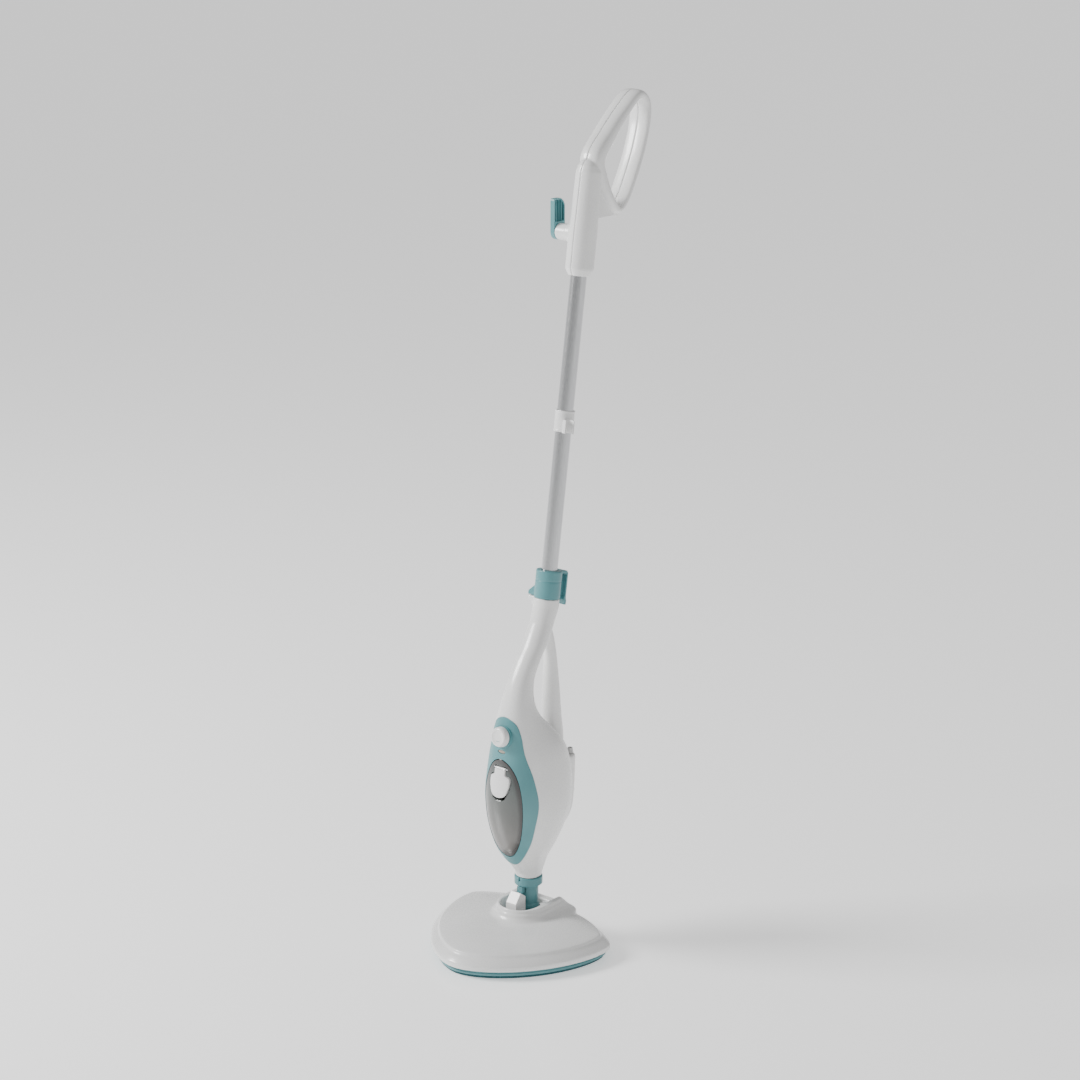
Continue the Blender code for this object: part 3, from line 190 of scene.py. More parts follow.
def edged(piece, width):
    # small rounded edges where the faces meet sharply, for thin pieces with long fine outlines
    step = piece.modifiers.new("edges", "BEVEL")
    step.width = width
    step.segments = 2
    step.limit_method = "ANGLE"
    step.angle_limit = radians(40)
    applyAll(piece)
    piece.data.shade_smooth()
    piece.data.set_sharp_from_angle(angle=radians(32))
    return piece


def finished(piece, body, material, slot, *nodes, shaded=False):
    piece.data.materials.clear()
    piece.data.materials.append(material)
    if not shaded:
        piece.data.shade_smooth()
    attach(piece, body)
    if nodes:
        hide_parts(*nodes)
    return piece


# ---- materials ----

def linear(hexColour):
    values = [int(hexColour[i:i + 2], 16) / 255 for i in (1, 3, 5)]
    return [v / 12.92 if v <= 0.04045 else ((v + 0.055) / 1.055) ** 2.4 for v in values] + [1]


def addNode(tree, kind, settings=None, **inputs):
    # inputs are socket names with _ for a space; a value is a number, a colour or another node's socket
    made = tree.nodes.new(kind)
    for name, value in (settings or {}).items():
        setattr(made, name, value)
    for name, value in inputs.items():
        socket = made.inputs[int(name[1:])] if name[0] == "i" and name[1:].isdigit() \
            else made.inputs[name.replace("_", " ")]
        if isinstance(value, bpy.types.NodeSocket):
            tree.links.new(value, socket)
        else:
            socket.default_value = value
    return made


def newMaterial(name):
    made = bpy.data.materials.new(name)
    made.use_nodes = True
    tree = made.node_tree
    return made, tree, tree.nodes["Principled BSDF"]


def setShader(shader, **values):
    for name, value in values.items():
        shader.inputs[name.replace("_", " ")].default_value = value


def mixColour(tree, factor, first, second):
    mixed = addNode(tree, "ShaderNodeMix", {"data_type": "RGBA"})
    for index, value in ((0, factor), (6, first), (7, second)):
        if isinstance(value, bpy.types.NodeSocket):
            tree.links.new(value, mixed.inputs[index])
        else:
            mixed.inputs[index].default_value = value
    return mixed.outputs[2]


def mouldedPlastic(name, look):
    # injection moulded ABS: even colour, soft sheen, a very fine orange peel from the mould's skin
    made, tree, shader = newMaterial(name)
    spot = addNode(tree, "ShaderNodeTexCoord").outputs["Object"]
    broad = addNode(tree, "ShaderNodeTexNoise", Vector=spot, Scale=1 / look["flowMm"] * 1000, Detail=2.0)
    tint = addNode(tree, "ShaderNodeMapRange", Value=broad.outputs["Fac"], From_Min=0.35, From_Max=0.65)
    colour = mixColour(tree, tint.outputs[0], linear(look["shade"]), linear(look["colour"]))
    tree.links.new(colour, shader.inputs["Base Color"])
    peel = addNode(tree, "ShaderNodeTexNoise", Vector=spot, Scale=1000 / look["peelMm"], Detail=3.0)
    rough = addNode(tree, "ShaderNodeMapRange", Value=peel.outputs["Fac"], To_Min=look["roughness"] - 0.04,
                    To_Max=look["roughness"] + 0.05)
    tree.links.new(rough.outputs[0], shader.inputs["Roughness"])
    bump = addNode(tree, "ShaderNodeBump", Height=peel.outputs["Fac"], Strength=look["peel"],
                   Distance=0.0001)
    tree.links.new(bump.outputs[0], shader.inputs["Normal"])
    setShader(shader, IOR=1.53, Specular_IOR_Level=0.5)
    if look.get("coat"):
        setShader(shader, Coat_Weight=look["coat"], Coat_Roughness=0.12)
    return made


# ABS: IOR 1.53; the peel is really under 1 mm across and is drawn at 1.6 mm so that it shows
plasticLooks = {
    "white": {"colour": "#F3F3F2", "shade": "#EDEDEC", "flowMm": 70, "peelMm": 1.6, "roughness": 0.27,
              "peel": 0.10, "coat": 0.25},
    "teal": {"colour": "#5B979C", "shade": "#538E94", "flowMm": 60, "peelMm": 1.4, "roughness": 0.34,
             "peel": 0.14},
    "dark": {"colour": "#2A2A2C", "shade": "#232325", "flowMm": 30, "peelMm": 1.0, "roughness": 0.55,
             "peel": 0.35},
    "lens": {"colour": "#A39A8C", "shade": "#8D8579", "flowMm": 4, "peelMm": 0.8, "roughness": 0.18,
             "peel": 0.05, "coat": 0.6},
}
whiteAbs = mouldedPlastic("white_moulded_abs", plasticLooks["white"])
tealAbs = mouldedPlastic("teal_moulded_abs", plasticLooks["teal"])
darkAbs = mouldedPlastic("dark_textured_abs", plasticLooks["dark"])
lensAcrylic = mouldedPlastic("pilot_lens_acrylic", plasticLooks["lens"])

tankLook = {"middle": "#4A5452", "low": "#75706C", "rim": "#262524", "roughness": 0.12}
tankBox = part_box("water_tank")


def smokedSan():
    # polished smoked SAN: grey-brown, darker at the rim, where one looks along the wall; drawn opaque
    made, tree, shader = newMaterial("smoked_san_tank")
    spot = addNode(tree, "ShaderNodeTexCoord").outputs["Object"]
    low, high = tankBox
    middle = (low + high) / 2
    half = (high - low) / 2
    centred = addNode(tree, "ShaderNodeMapping", {"vector_type": "TEXTURE"}, Vector=spot,
                      Location=(middle.x, middle.y, middle.z), Scale=(half.x, 1.0, half.z))
    apart = addNode(tree, "ShaderNodeSeparateXYZ", Vector=centred.outputs[0])
    flat = addNode(tree, "ShaderNodeCombineXYZ", X=apart.outputs["X"], Z=apart.outputs["Z"])
    reach = addNode(tree, "ShaderNodeVectorMath", {"operation": "LENGTH"}, i0=flat.outputs[0])
    ring = addNode(tree, "ShaderNodeMapRange", {"interpolation_type": "SMOOTHSTEP"},
                   Value=reach.outputs["Value"], From_Min=0.80, From_Max=0.97)
    height = addNode(tree, "ShaderNodeMapRange", Value=apart.outputs["Z"], From_Min=-1.0, From_Max=0.6)
    inner = mixColour(tree, height.outputs[0], linear(tankLook["low"]), linear(tankLook["middle"]))
    cloud = addNode(tree, "ShaderNodeTexNoise", Vector=spot, Scale=45.0, Detail=2.0)
    veil = addNode(tree, "ShaderNodeMapRange", Value=cloud.outputs["Fac"], To_Min=0.0, To_Max=0.22)
    clouded = mixColour(tree, veil.outputs[0], inner, linear(tankLook["rim"]))
    colour = mixColour(tree, ring.outputs[0], clouded, linear(tankLook["rim"]))
    tree.links.new(colour, shader.inputs["Base Color"])
    fine = addNode(tree, "ShaderNodeTexNoise", Vector=spot, Scale=900.0, Detail=2.0)
    rough = addNode(tree, "ShaderNodeMapRange", Value=fine.outputs["Fac"],
                    To_Min=tankLook["roughness"] - 0.03, To_Max=tankLook["roughness"] + 0.05)
    tree.links.new(rough.outputs[0], shader.inputs["Roughness"])
    setShader(shader, IOR=1.57, Coat_Weight=0.5, Coat_Roughness=0.05)
    return made


metalLooks = {
    # metallic colour, roughness, line spacing along the tube in mm, depth of the lines
    "polished_drawn_aluminium": {"colour": "#D2D3D4", "shade": "#BFC0C2", "roughness": 0.22, "lineMm": 0.7,
                                 "stretch": 60.0, "depth": 0.10},
    "zinc_plated_steel": {"colour": "#B4B6B8", "shade": "#9A9C9F", "roughness": 0.34, "lineMm": 0.8,
                          "stretch": 1.0, "depth": 0.10},
    "turned_brass": {"colour": "#C2A05A", "shade": "#A88645", "roughness": 0.30, "lineMm": 0.6,
                     "stretch": 0.2, "depth": 0.12},
    "sand_cast_aluminium": {"colour": "#9B9D9F", "shade": "#85878A", "roughness": 0.62, "lineMm": 0.9,
                            "stretch": 1.0, "depth": 0.6},
}


def metal(name):
    # the lines are the marks that drawing, turning or casting leaves, really finer and drawn to show
    look = metalLooks[name]
    made, tree, shader = newMaterial(name)
    spot = addNode(tree, "ShaderNodeTexCoord").outputs["Object"]
    drawn = addNode(tree, "ShaderNodeMapping", Vector=spot, Scale=(1.0, 1.0, 1 / look["stretch"]))
    lines = addNode(tree, "ShaderNodeTexNoise", Vector=drawn.outputs[0], Scale=1000 / look["lineMm"],
                    Detail=3.0)
    tint = addNode(tree, "ShaderNodeMapRange", Value=lines.outputs["Fac"], From_Min=0.3, From_Max=0.7)
    colour = mixColour(tree, tint.outputs[0], linear(look["shade"]), linear(look["colour"]))
    tree.links.new(colour, shader.inputs["Base Color"])
    rough = addNode(tree, "ShaderNodeMapRange", Value=lines.outputs["Fac"],
                    To_Min=look["roughness"] - 0.06, To_Max=look["roughness"] + 0.08)
    tree.links.new(rough.outputs[0], shader.inputs["Roughness"])
    bump = addNode(tree, "ShaderNodeBump", Height=lines.outputs["Fac"], Strength=look["depth"],
                   Distance=0.0001)
    tree.links.new(bump.outputs[0], shader.inputs["Normal"])
    setShader(shader, Metallic=1.0)
    return made


softLooks = {
    "black_moulded_rubber": {"colour": "#202021", "shade": "#171718", "roughness": 0.8, "grainMm": 0.8},
    "clear_silicone_hose": {"colour": "#CDD2D0", "shade": "#BDC2C0", "roughness": 0.45, "grainMm": 2.0},
    "light_grey_moulded_rubber": {"colour": "#D9D9D8", "shade": "#CDCDCC", "roughness": 0.6, "grainMm": 0.8},
}


def softPlastic(name):
    look = softLooks[name]
    made, tree, shader = newMaterial(name)
    spot = addNode(tree, "ShaderNodeTexCoord").outputs["Object"]
    grain = addNode(tree, "ShaderNodeTexNoise", Vector=spot, Scale=1000 / look["grainMm"], Detail=2.0)
    colour = mixColour(tree, grain.outputs["Fac"], linear(look["shade"]), linear(look["colour"]))
    tree.links.new(colour, shader.inputs["Base Color"])
    bump = addNode(tree, "ShaderNodeBump", Height=grain.outputs["Fac"], Strength=0.2, Distance=0.0002)
    tree.links.new(bump.outputs[0], shader.inputs["Normal"])
    setShader(shader, Roughness=look["roughness"], IOR=1.45)
    return made


# the deep colour is painted shade in the hollows between the loops, and also the tone of the darker threads
clothLook = {"colour": "#4E8E93", "deep": "#2C5F66", "loopMm": 2.4, "threadMm": 0.6}


def microfibre(name, look):
    # looped microfibre: matt, soft edge light, loops about 2.4 mm across with finer threads on them; the colour is
    # darker in the hollows between the loops as painted shade
    made, tree, shader = newMaterial(name)
    spot = addNode(tree, "ShaderNodeTexCoord").outputs["Object"]
    loops = addNode(tree, "ShaderNodeTexVoronoi", Vector=spot, Scale=1000 / look["loopMm"])
    threads = addNode(tree, "ShaderNodeTexNoise", Vector=spot, Scale=1000 / look["threadMm"], Detail=3.0)
    # painted shade: away from each loop's middle the colour goes over to the deep colour, in the hollows between
    # the loops
    hollow = addNode(tree, "ShaderNodeMapRange", Value=loops.outputs["Distance"], From_Min=0.15,
                     From_Max=0.75)
    base = mixColour(tree, hollow.outputs[0], linear(look["colour"]), linear(look["deep"]))
    # the fine threads mix towards the same deep colour as random thread tone
    colour = mixColour(tree, threads.outputs["Fac"], base, linear(look["deep"]))
    tree.links.new(colour, shader.inputs["Base Color"])
    height = addNode(tree, "ShaderNodeMath", {"operation": "SUBTRACT"}, i0=threads.outputs["Fac"],
                     i1=hollow.outputs[0])
    bump = addNode(tree, "ShaderNodeBump", Height=height.outputs[0], Strength=0.7, Distance=0.0006)
    tree.links.new(bump.outputs[0], shader.inputs["Normal"])
    setShader(shader, Roughness=0.95, Sheen_Weight=0.4, Sheen_Roughness=0.5, Specular_IOR_Level=0.2)
    return made


tankSan = smokedSan()
aluminium = metal("polished_drawn_aluminium")
steel = metal("zinc_plated_steel")
brass = metal("turned_brass")
castAluminium = metal("sand_cast_aluminium")
rubber = softPlastic("black_moulded_rubber")
silicone = softPlastic("clear_silicone_hose")
padCloth = microfibre("teal_looped_microfibre", clothLook)
# the binding's deep colour is painted shade between the loops of its weave, and also darker thread tone
hemCloth = microfibre("teal_woven_binding", {"colour": "#3F7F86", "deep": "#27565D", "loopMm": 1.1,
                                              "threadMm": 0.4})
glandRubber = softPlastic("light_grey_moulded_rubber")

# every CAD node starts with the finish of its slot; most of the outer ones are replaced below
slotMaterial = {"white_shell": whiteAbs, "teal_plastic": tealAbs, "dark_plastic": darkAbs,
                "smoked_tank": tankSan, "aluminium": aluminium, "steel": steel, "brass": brass,
                "cast_aluminium": castAluminium, "rubber": rubber, "silicone": silicone,
                "microfibre": padCloth, "lens": lensAcrylic}
for part in frame["record"]["subparts"]:
    finish = glandRubber if part["node"] == "cord_gland" else slotMaterial[part["material_slot"]]
    cadMesh = cadNodes[part["node"]].data
    cadMesh.materials.clear()
    cadMesh.materials.append(finish)
print("materials made")


# ---- mop head ----

headShape = {"radius": 0.12255, "forward": 0.0349, "oval": 0.0090, "point": 0.0127, "sides": 144,
             "wall": 0.0025, "baseInset": 0.0055, "padInset": 0.0095}
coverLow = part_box("head_cover")[0].z
baseLow, baseHigh = (corner.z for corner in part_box("head_base"))


def headRing(inset, z, sides=None):
    # a rounded triangle from its support function, shrunk about its middle
    sides = sides or headShape["sides"]
    shrink = 1 - inset / headShape["radius"]
    oval, point = headShape["oval"], headShape["point"]
    ring = []
    for k in range(sides):
        angle = 2 * pi * k / sides
        reach = headShape["radius"] - oval * cos(2 * angle) + point * cos(3 * angle)
        slope = 2 * oval * sin(2 * angle) - 3 * point * sin(3 * angle)
        across = reach * sin(angle) + slope * cos(angle)
        ahead = reach * cos(angle) - slope * sin(angle)
        ring.append((across * shrink, -headShape["forward"] - ahead * shrink, z))
    return ring


# inset and height above the rim's lower edge: rim, shoulder with its crease, low dome
coverProfile = [(0.0010, 0.0), (0.0, 0.0012), (0.0, 0.0070), (0.0007, 0.0082), (0.0050, 0.0122),
                (0.0098, 0.0158), (0.0112, 0.0166), (0.0118, 0.0184), (0.0126, 0.0200), (0.0150, 0.0210),
                (0.0230, 0.0233), (0.0350, 0.0261), (0.0480, 0.0284), (0.0640, 0.0304), (0.0850, 0.0320)]


def coverSkin(name, wall):
    line = curvePoints([(inset, rise, 0) for inset, rise in coverProfile], 3)
    rings = [headRing(point.x + wall, coverLow + point.y - wall) for point in line]
    if wall:
        below = coverLow - 0.01
        rings = [headRing(headShape["wall"], below)] + [ring for ring in rings if ring[0][2] > coverLow]
    return lofted(name, rings)


hubShape = {"top": 0.0605, "half": 0.0365, "centreY": -0.0120, "flare": 0.0160, "rear": 0.0440,
            "slotHalf": 0.0278, "slotFront": -0.0445, "slotPower": 2.5, "sill": 0.0440}


def hubRing(spread, rear, z):
    radius = hubShape["half"] + spread
    points = [(radius * sin(a), hubShape["centreY"] - radius * cos(a), z)
              for a in (pi * k / 40 - pi / 2 for k in range(41))]
    corner = 0.0120 + spread / 2
    for side, start in ((1, 0), (-1, pi / 2)):
        for k in range(13):
            a = start + pi / 2 * k / 12
            points.append((side * (radius - corner) + corner * cos(a), rear - corner + corner * sin(a), z))
    return points


def slotRing(rear, z):
    # a blunt rounded front and straight sides
    points = []
    for k in range(41):
        a = pi * k / 40 - pi / 2
        side = 1 if a > 0 else -1
        across = hubShape["slotHalf"] * abs(sin(a)) ** (2 / hubShape["slotPower"]) * side
        ahead = (hubShape["centreY"] - hubShape["slotFront"]) * abs(cos(a)) ** (2 / hubShape["slotPower"])
        points.append((across, hubShape["centreY"] - ahead, z))
    return points + [(hubShape["slotHalf"], rear, z), (-hubShape["slotHalf"], rear, z)]


def makeHead():
    cover = coverSkin("head_cover_shell", 0.0)
    top, flare, rear = hubShape["top"], hubShape["flare"], hubShape["rear"]
    # spread, rear edge and height: a flared foot, a waist, a small lip under the flat top
    levels = [(flare, rear + 0.0100, top - 0.0270), (flare, rear + 0.0100, top - 0.0195),
              (flare * 0.72, rear + 0.0078, top - 0.0172), (flare * 0.42, rear + 0.0050, top - 0.0143),
              (flare * 0.20, rear + 0.0013, top - 0.0105), (flare * 0.15, rear - 0.0011, top - 0.0080),
              (flare * 0.14, rear - 0.0022, top - 0.0068), (0.0006, rear - 0.0038, top - 0.0052),
              (0.0, rear - 0.0055, top - 0.0034), (-0.0002, rear - 0.0085, top - 0.0014),
              (-0.0008, rear - 0.0110, top - 0.0004), (-0.0016, rear - 0.0130, top)]
    line = curvePoints(levels, 3)
    worked(cover, lofted("hub", [hubRing(point.x, point.y, point.z) for point in line]), "UNION")
    worked(cover, coverSkin("inside", headShape["wall"]))
    half, back = hubShape["slotHalf"], rear - 0.0040
    worked(cover, lofted("slot", [slotRing(back, z) for z in (0.0, 0.1)]))
    worked(cover, block("slot_rear", (-half, back - 0.01, hubShape["sill"]), (half, 0.12, 0.1)))
    moulded(cover, 0.0013, 3)
    finished(cover, "head", whiteAbs, "white_shell", "head_cover")

    inset = headShape["baseInset"]
    rise = baseHigh - baseLow
    profile = [(0.0030, 0.0), (0.0010, 0.0003), (0.0002, 0.0010), (0.0, 0.0020), (0.0, rise * 0.52),
               (0.0006, rise * 0.58), (0.0006, rise * 0.66), (0.0, rise * 0.72), (0.0, rise)]
    line = curvePoints([(step, height, 0) for step, height in profile], 2)
    base = lofted("head_base_plate", [headRing(inset + point.x, baseLow + point.y) for point in line])
    finished(base, "head", tealAbs, "teal_plastic", "head_base")


padShape = {"ringMm": 2.6, "loopDepth": 0.0009, "hemHalf": 0.0019, "stitchMm": 4.0}


def makePad():
    # the pile points down and outwards, so the loops are pressed up from the floor, never below it
    low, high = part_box("mop_pad")
    inset = headShape["padInset"]
    thick = high.z - low.z
    edge = [(0.0030, thick), (0.0008, thick - 0.0002), (0.0, thick - 0.0012), (0.0, 0.0016),
            (0.0012, 0.0004), (0.0034, 0.0)]
    rings = [headRing(inset + step, height) for step, height in edge]
    step = edge[-1][0]
    while step < headShape["radius"] * 0.90:
        step += padShape["ringMm"] / 1000
        rings.append(headRing(inset + step, 0.0))
    pad = lofted("microfibre_pad", rings)
    bm = bmesh.new()
    bm.from_mesh(pad.data)
    bmesh.ops.subdivide_edges(bm, edges=bm.edges, cuts=1, use_grid_fill=True)
    for vert in bm.verts:
        if vert.co.z < thick * 0.6:
            tuft = noise.noise(vert.co * 420) * 0.6 + noise.noise(vert.co * 140) * 0.4 + 0.5
            vert.co.z += padShape["loopDepth"] * min(max(tuft, 0), 1)
    bm.to_mesh(pad.data)
    bm.free()
    finished(pad, "head", padCloth, "microfibre", "mop_pad")

    # sewn binding round the pad, with its stitches
    half = padShape["hemHalf"]
    middle = thick / 2 + 0.0001
    path = headRing(inset, middle, 180)
    rings = []
    for k, spot in enumerate(path):
        along = (Vector(path[(k + 1) % len(path)]) - Vector(path[k - 1])).normalized()
        out = Vector((along.y, -along.x, 0))
        if out.dot(Vector(spot) - Vector((0, -headShape["forward"], middle))) < 0:
            out = -out
        pucker = 1 + 0.10 * noise.noise(Vector(spot) * 260)
        rings.append([Vector(spot) + out * (cos(a) * 0.0013 * pucker) + Vector((0, 0, sin(a) * half))
                      for a in (2 * pi * j / 12 for j in range(12))])
    hem = lofted("pad_binding", rings, closed=True)
    finished(hem, "head", hemCloth, "microfibre")

    bm = bmesh.new()
    length = sum((Vector(a) - Vector(b)).length for a, b in zip(path, path[1:] + path[:1]))
    total = int(length / (padShape["stitchMm"] / 1000))
    ring = headRing(inset - 0.0011, middle, total)
    for k, spot in enumerate(ring):
        along = Vector(ring[(k + 1) % total]) - Vector(ring[k - 1])
        turn = Matrix.Rotation(atan2(along.y, along.x), 4, "Z")
        shape = Matrix.Translation(spot) @ turn @ Matrix.Diagonal((0.0012, 0.0003, 0.0003, 1))
        bmesh.ops.create_icosphere(bm, subdivisions=1, radius=1, matrix=shape)
    stitches = newPiece(bm, "pad_stitches")
    finished(stitches, "head", hemCloth, "microfibre")


makeHead()
makePad()
print("mop head made")


# ---- yoke and neck ----

neckShape = {"radius": 0.0138, "ring": 0.0197, "ringLow": 0.0840, "ringTop": 0.0962, "socket": 0.0148,
             "pinZ": 0.0420, "rollZ": 0.0340}


yokeShape = {"floorDrop": 0.0115, "cheek": 0.0040, "reach": 0.0027, "stopDepth": 0.0210, "stopTop": 0.0785,
             "stopHalf": 0.0090, "bridge": 0.0135, "bridgeHalf": 0.0070, "trunnion": 0.0040,
             "pinBore": 0.0033}


def makeYoke():
    low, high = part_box("swivel_yoke")
    pinZ, rollZ = neckShape["pinZ"], neckShape["rollZ"]
    floorZ = rollZ - yokeShape["floorDrop"]
    inner, outer = high.x - yokeShape["cheek"], high.x
    reach = neckShape["radius"] + yokeShape["reach"]
    yoke = block("yoke_body", (-outer, -reach - 0.002, floorZ), (outer, reach, floorZ + 0.0030))
    for side in (-1, 1):
        near, far = sorted((side * inner, side * outer))
        # cheeks with round tops about the pin
        cheek = [(-reach, floorZ + 0.001), (reach, floorZ + 0.001), (reach, pinZ - 0.002)]
        cheek += [(reach * cos(a), pinZ - 0.002 + 0.0098 * sin(a))
                  for a in (pi * k / 16 for k in range(1, 16))]
        cheek.append((-reach, pinZ - 0.002))
        worked(yoke, extruded("cheek", cheek, near, far, "X"), "UNION")
    # the stop block leans on the front of the neck, and the bridge carries the rear trunnion
    rest, stopFront, stopTop = -reach - 0.0003, -reach - yokeShape["stopDepth"], yokeShape["stopTop"]
    wedge = [(rest, floorZ), (rest, stopTop - 0.0073), (rest - 0.0100, stopTop),
             (stopFront, stopTop - 0.0139), (stopFront, floorZ)]
    worked(yoke, extruded("stop", wedge, -yokeShape["stopHalf"], yokeShape["stopHalf"], "X"), "UNION")
    back, half = reach + yokeShape["bridge"], yokeShape["bridgeHalf"]
    worked(yoke, block("bridge", (-half, reach - 0.001, floorZ), (half, back, rollZ - 0.0016)), "UNION")
    for start, end in ((stopFront + 0.004, low.y), (back - 0.004, high.y)):
        worked(yoke, bar("trunnion", yokeShape["trunnion"], (0, start, rollZ), (0, end, rollZ)), "UNION")
    bored(yoke, yokeShape["pinBore"], (-0.05, 0, pinZ), (0.05, 0, pinZ))
    moulded(yoke, 0.0005, 4)
    finished(yoke, "yoke", whiteAbs, "white_shell", "swivel_yoke")


def makeNeck():
    r, ring = neckShape["radius"], neckShape["ring"]
    pinZ, low, top = neckShape["pinZ"], neckShape["ringLow"], neckShape["ringTop"]
    profile = [(0, pinZ), (r, pinZ), (r, pinZ + 0.0082), (r + 0.0016, pinZ + 0.0098),
               (r + 0.0016, pinZ + 0.0127), (r, pinZ + 0.0145), (r + 0.0002, low - 0.0010),
               (ring - 0.0008, low), (ring, low + 0.0008), (ring, top - 0.0008), (ring - 0.0008, top),
               (0, top)]
    neck = spun("neck_tube", profile)
    worked(neck, bar("barrel", r - 0.0008, (-r, 0, pinZ), (r, 0, pinZ)), "UNION")
    bored(neck, neckShape["socket"], (0, 0, low + 0.0020), (0, 0, top + 0.02))
    bored(neck, 0.0072, (0, 0, top - 0.0160), (0, 0, top + 0.01))
    bored(neck, 0.0050, (0, 0, pinZ + 0.0110), (0, 0, top))
    bored(neck, 0.0034, (-0.03, 0, pinZ), (0.03, 0, pinZ))
    worked(neck, block("notch", (-0.0014, -ring - 0.01, top - 0.0050), (0.0014, -ring + 0.0024, 0.2)))
    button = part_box("neck_button")
    back = -r + 0.0045
    pocket = block("pocket", (-0.0053, -0.05, button[0].z - 0.0005), (0.0053, back, button[1].z + 0.0003))
    worked(neck, pocket)
    # grip ribs on the two sides of the ring
    for side in (-1, 1):
        for k in range(5):
            turn = Matrix.Rotation(side * radians(90) + radians(7 * (k - 2)), 4, "Z")
            rib = bar("rib", 0.0007, (0, -ring, low + 0.0025), (0, -ring, top - 0.0025), 16, turn)
            worked(neck, rib, "UNION")
    moulded(neck, 0.00055, 3)
    finished(neck, "upper", tealAbs, "teal_plastic", "neck")
    pad = block("neck_button_cap", button[0], button[1])
    for k in range(3):
        z = button[0].z + (k + 1) * (button[1].z - button[0].z) / 4
        bored(pad, 0.0005, (-0.0036, button[0].y, z), (0.0036, button[0].y, z), 16)
    middle = (button[0].z + button[1].z) / 2
    bored(pad, 0.0022, (0, button[0].y + 0.0010, middle), (0, 0, middle), 24)
    moulded(pad, 0.00035, 3)
    finished(pad, "neck_button", tealAbs, "teal_plastic", "neck_button")


makeYoke()
makeNeck()
print("yoke and neck made")


# ---- hand-held steam unit ----

tubeLean = radians(8.67)
tubeSeat = Vector((0.0, 0.0392, 0.4900))    # middle of the collar's lower face


def onTube(s):
    lean = Matrix.Rotation(-tubeLean, 4, "X")
    return Matrix.Translation(tubeSeat) @ lean @ Matrix.Translation((0, 0, s))


bodyShape = {"halfWidth": 0.0525, "halfDepth": 0.0655, "limb": 0.0170, "wall": 0.0025, "collar": 0.0180,
             "sides": 96, "steps": 7, "frontCell": 0.0012, "rearCell": 0.0010}
w, d, limb = bodyShape["halfWidth"], bodyShape["halfDepth"], bodyShape["limb"]
# centre y, height, half width and half depth from the spout up to the collar
bodyStations = [(0.0, 0.0965, 0.0178, 0.0178), (0.0, 0.1060, 0.0200, 0.0204),
                (-0.0050, 0.1273, w * 0.550, d * 0.480), (-0.0049, 0.1472, w * 0.733, d * 0.664),
                (-0.0016, 0.1730, w * 0.886, d * 0.847), (0.0019, 0.2000, w * 0.981, d * 0.977),
                (0.0023, 0.2310, w, d), (0.0021, 0.2633, w * 0.943, d * 0.939),
                (-0.0030, 0.2948, w * 0.819, d * 0.802), (-0.0194, 0.3320, w * 0.560, d * 0.480),
                (-0.0216, 0.3586, limb + 0.0048, limb + 0.0048),
                (-0.0148, 0.3855, limb + 0.0006, limb + 0.0006), (-0.0009, 0.4105, limb, limb),
                (0.0165, 0.4344, limb, limb), (0.0300, 0.4600, limb - 0.0002, limb - 0.0002)]


def ovalRing(y, z, halfWidth, halfDepth, tilt=0.0, power=2.0, sides=96):
    # power 2 is an ellipse and higher powers are squarer
    ring = []
    for k in range(sides):
        angle = 2 * pi * k / sides
        c, s = cos(angle), sin(angle)
        along = halfDepth * abs(c) ** (2 / power) * (1 if c >= 0 else -1)
        across = halfWidth * abs(s) ** (2 / power) * (1 if s >= 0 else -1)
        ring.append((across, y + along * cos(tilt), z - along * sin(tilt)))
    return ring


def bodySkin(name, grow=0.0, overrun=0.0, finer=1):
    sides = bodyShape["sides"] * finer
    rings = [ovalRing(row[0], row[1], row[2] + grow, row[3] + grow, 0.0, 2.15, sides)
             for row in curvePoints(bodyStations, bodyShape["steps"] * finer)]
    for s in (-0.0120, -seam):
        spot = onTube(s).translation
        radius = bodyShape["collar"] - 0.0004 + grow
        rings.append(ovalRing(spot.y, spot.z, radius, radius, tubeLean, 2.0, sides))
    if overrun:
        rings.insert(0, [(x, y, z - overrun) for x, y, z in rings[0]])
        rings.append([(x, y, z + overrun) for x, y, z in rings[-1]])
    return lofted(name, rings)


def strutSkin(name, grow=0.0):
    # rear limb of the grip, from inside the housing up into the front limb
    stations = [(0.0400, 0.2480, 0.0150), (0.0521, 0.2803, 0.0150), (0.0494, 0.3200, 0.0140),
                (0.0484, 0.3485, 0.0128), (0.0475, 0.3850, 0.0105), (0.0455, 0.4150, 0.0088),
                (0.0400, 0.4380, 0.0086), (0.0320, 0.4570, 0.0084)]
    rings = [ovalRing(row.x, row.y, row.z + grow, row.z + grow, 0.0, 2.0, 48)
             for row in curvePoints(stations, 5)]
    return lofted(name, rings)


humpShape = {"half": 0.0310, "top": 0.2622, "rear": 0.0737, "front": 0.0050, "power": 5.0,
             "widening": 0.060, "footInset": 0.016}


def humpSkin(name, grow=0.0):
    top, front = humpShape["top"], humpShape["front"]
    rows = [(0.1300, 0.0507), (0.1450, 0.0342), (0.1660, 0.0157), (0.1850, 0.0075), (0.2040, 0.0037),
            (0.2320, 0.0012), (top - 0.0042, 0.0)]
    line = [(row.x, row.y, 0.0) for row in curvePoints([(z, inset, 0) for z, inset in rows], 4)]
    line += [(top - 0.0012, 0.0006, 0.0005), (top, 0.0022, 0.0020)]
    foot = line[0][0]
    rings = []
    for z, inset, narrow in line:
        halfDepth = (humpShape["rear"] - inset - front) / 2
        # it widens from its foot, and a smaller skin ends inside a larger one
        rise = min((z - foot) / humpShape["widening"], 1.0)
        narrow += humpShape["footInset"] * (1 - rise * rise * (3 - 2 * rise))
        height = z + (grow if z > top - 0.003 else -grow if z == foot else 0.0)
        rings.append(ovalRing(front + halfDepth, height, humpShape["half"] + grow - narrow, halfDepth + grow,
                              0.0, humpShape["power"], 72))
    return lofted(name, rings)


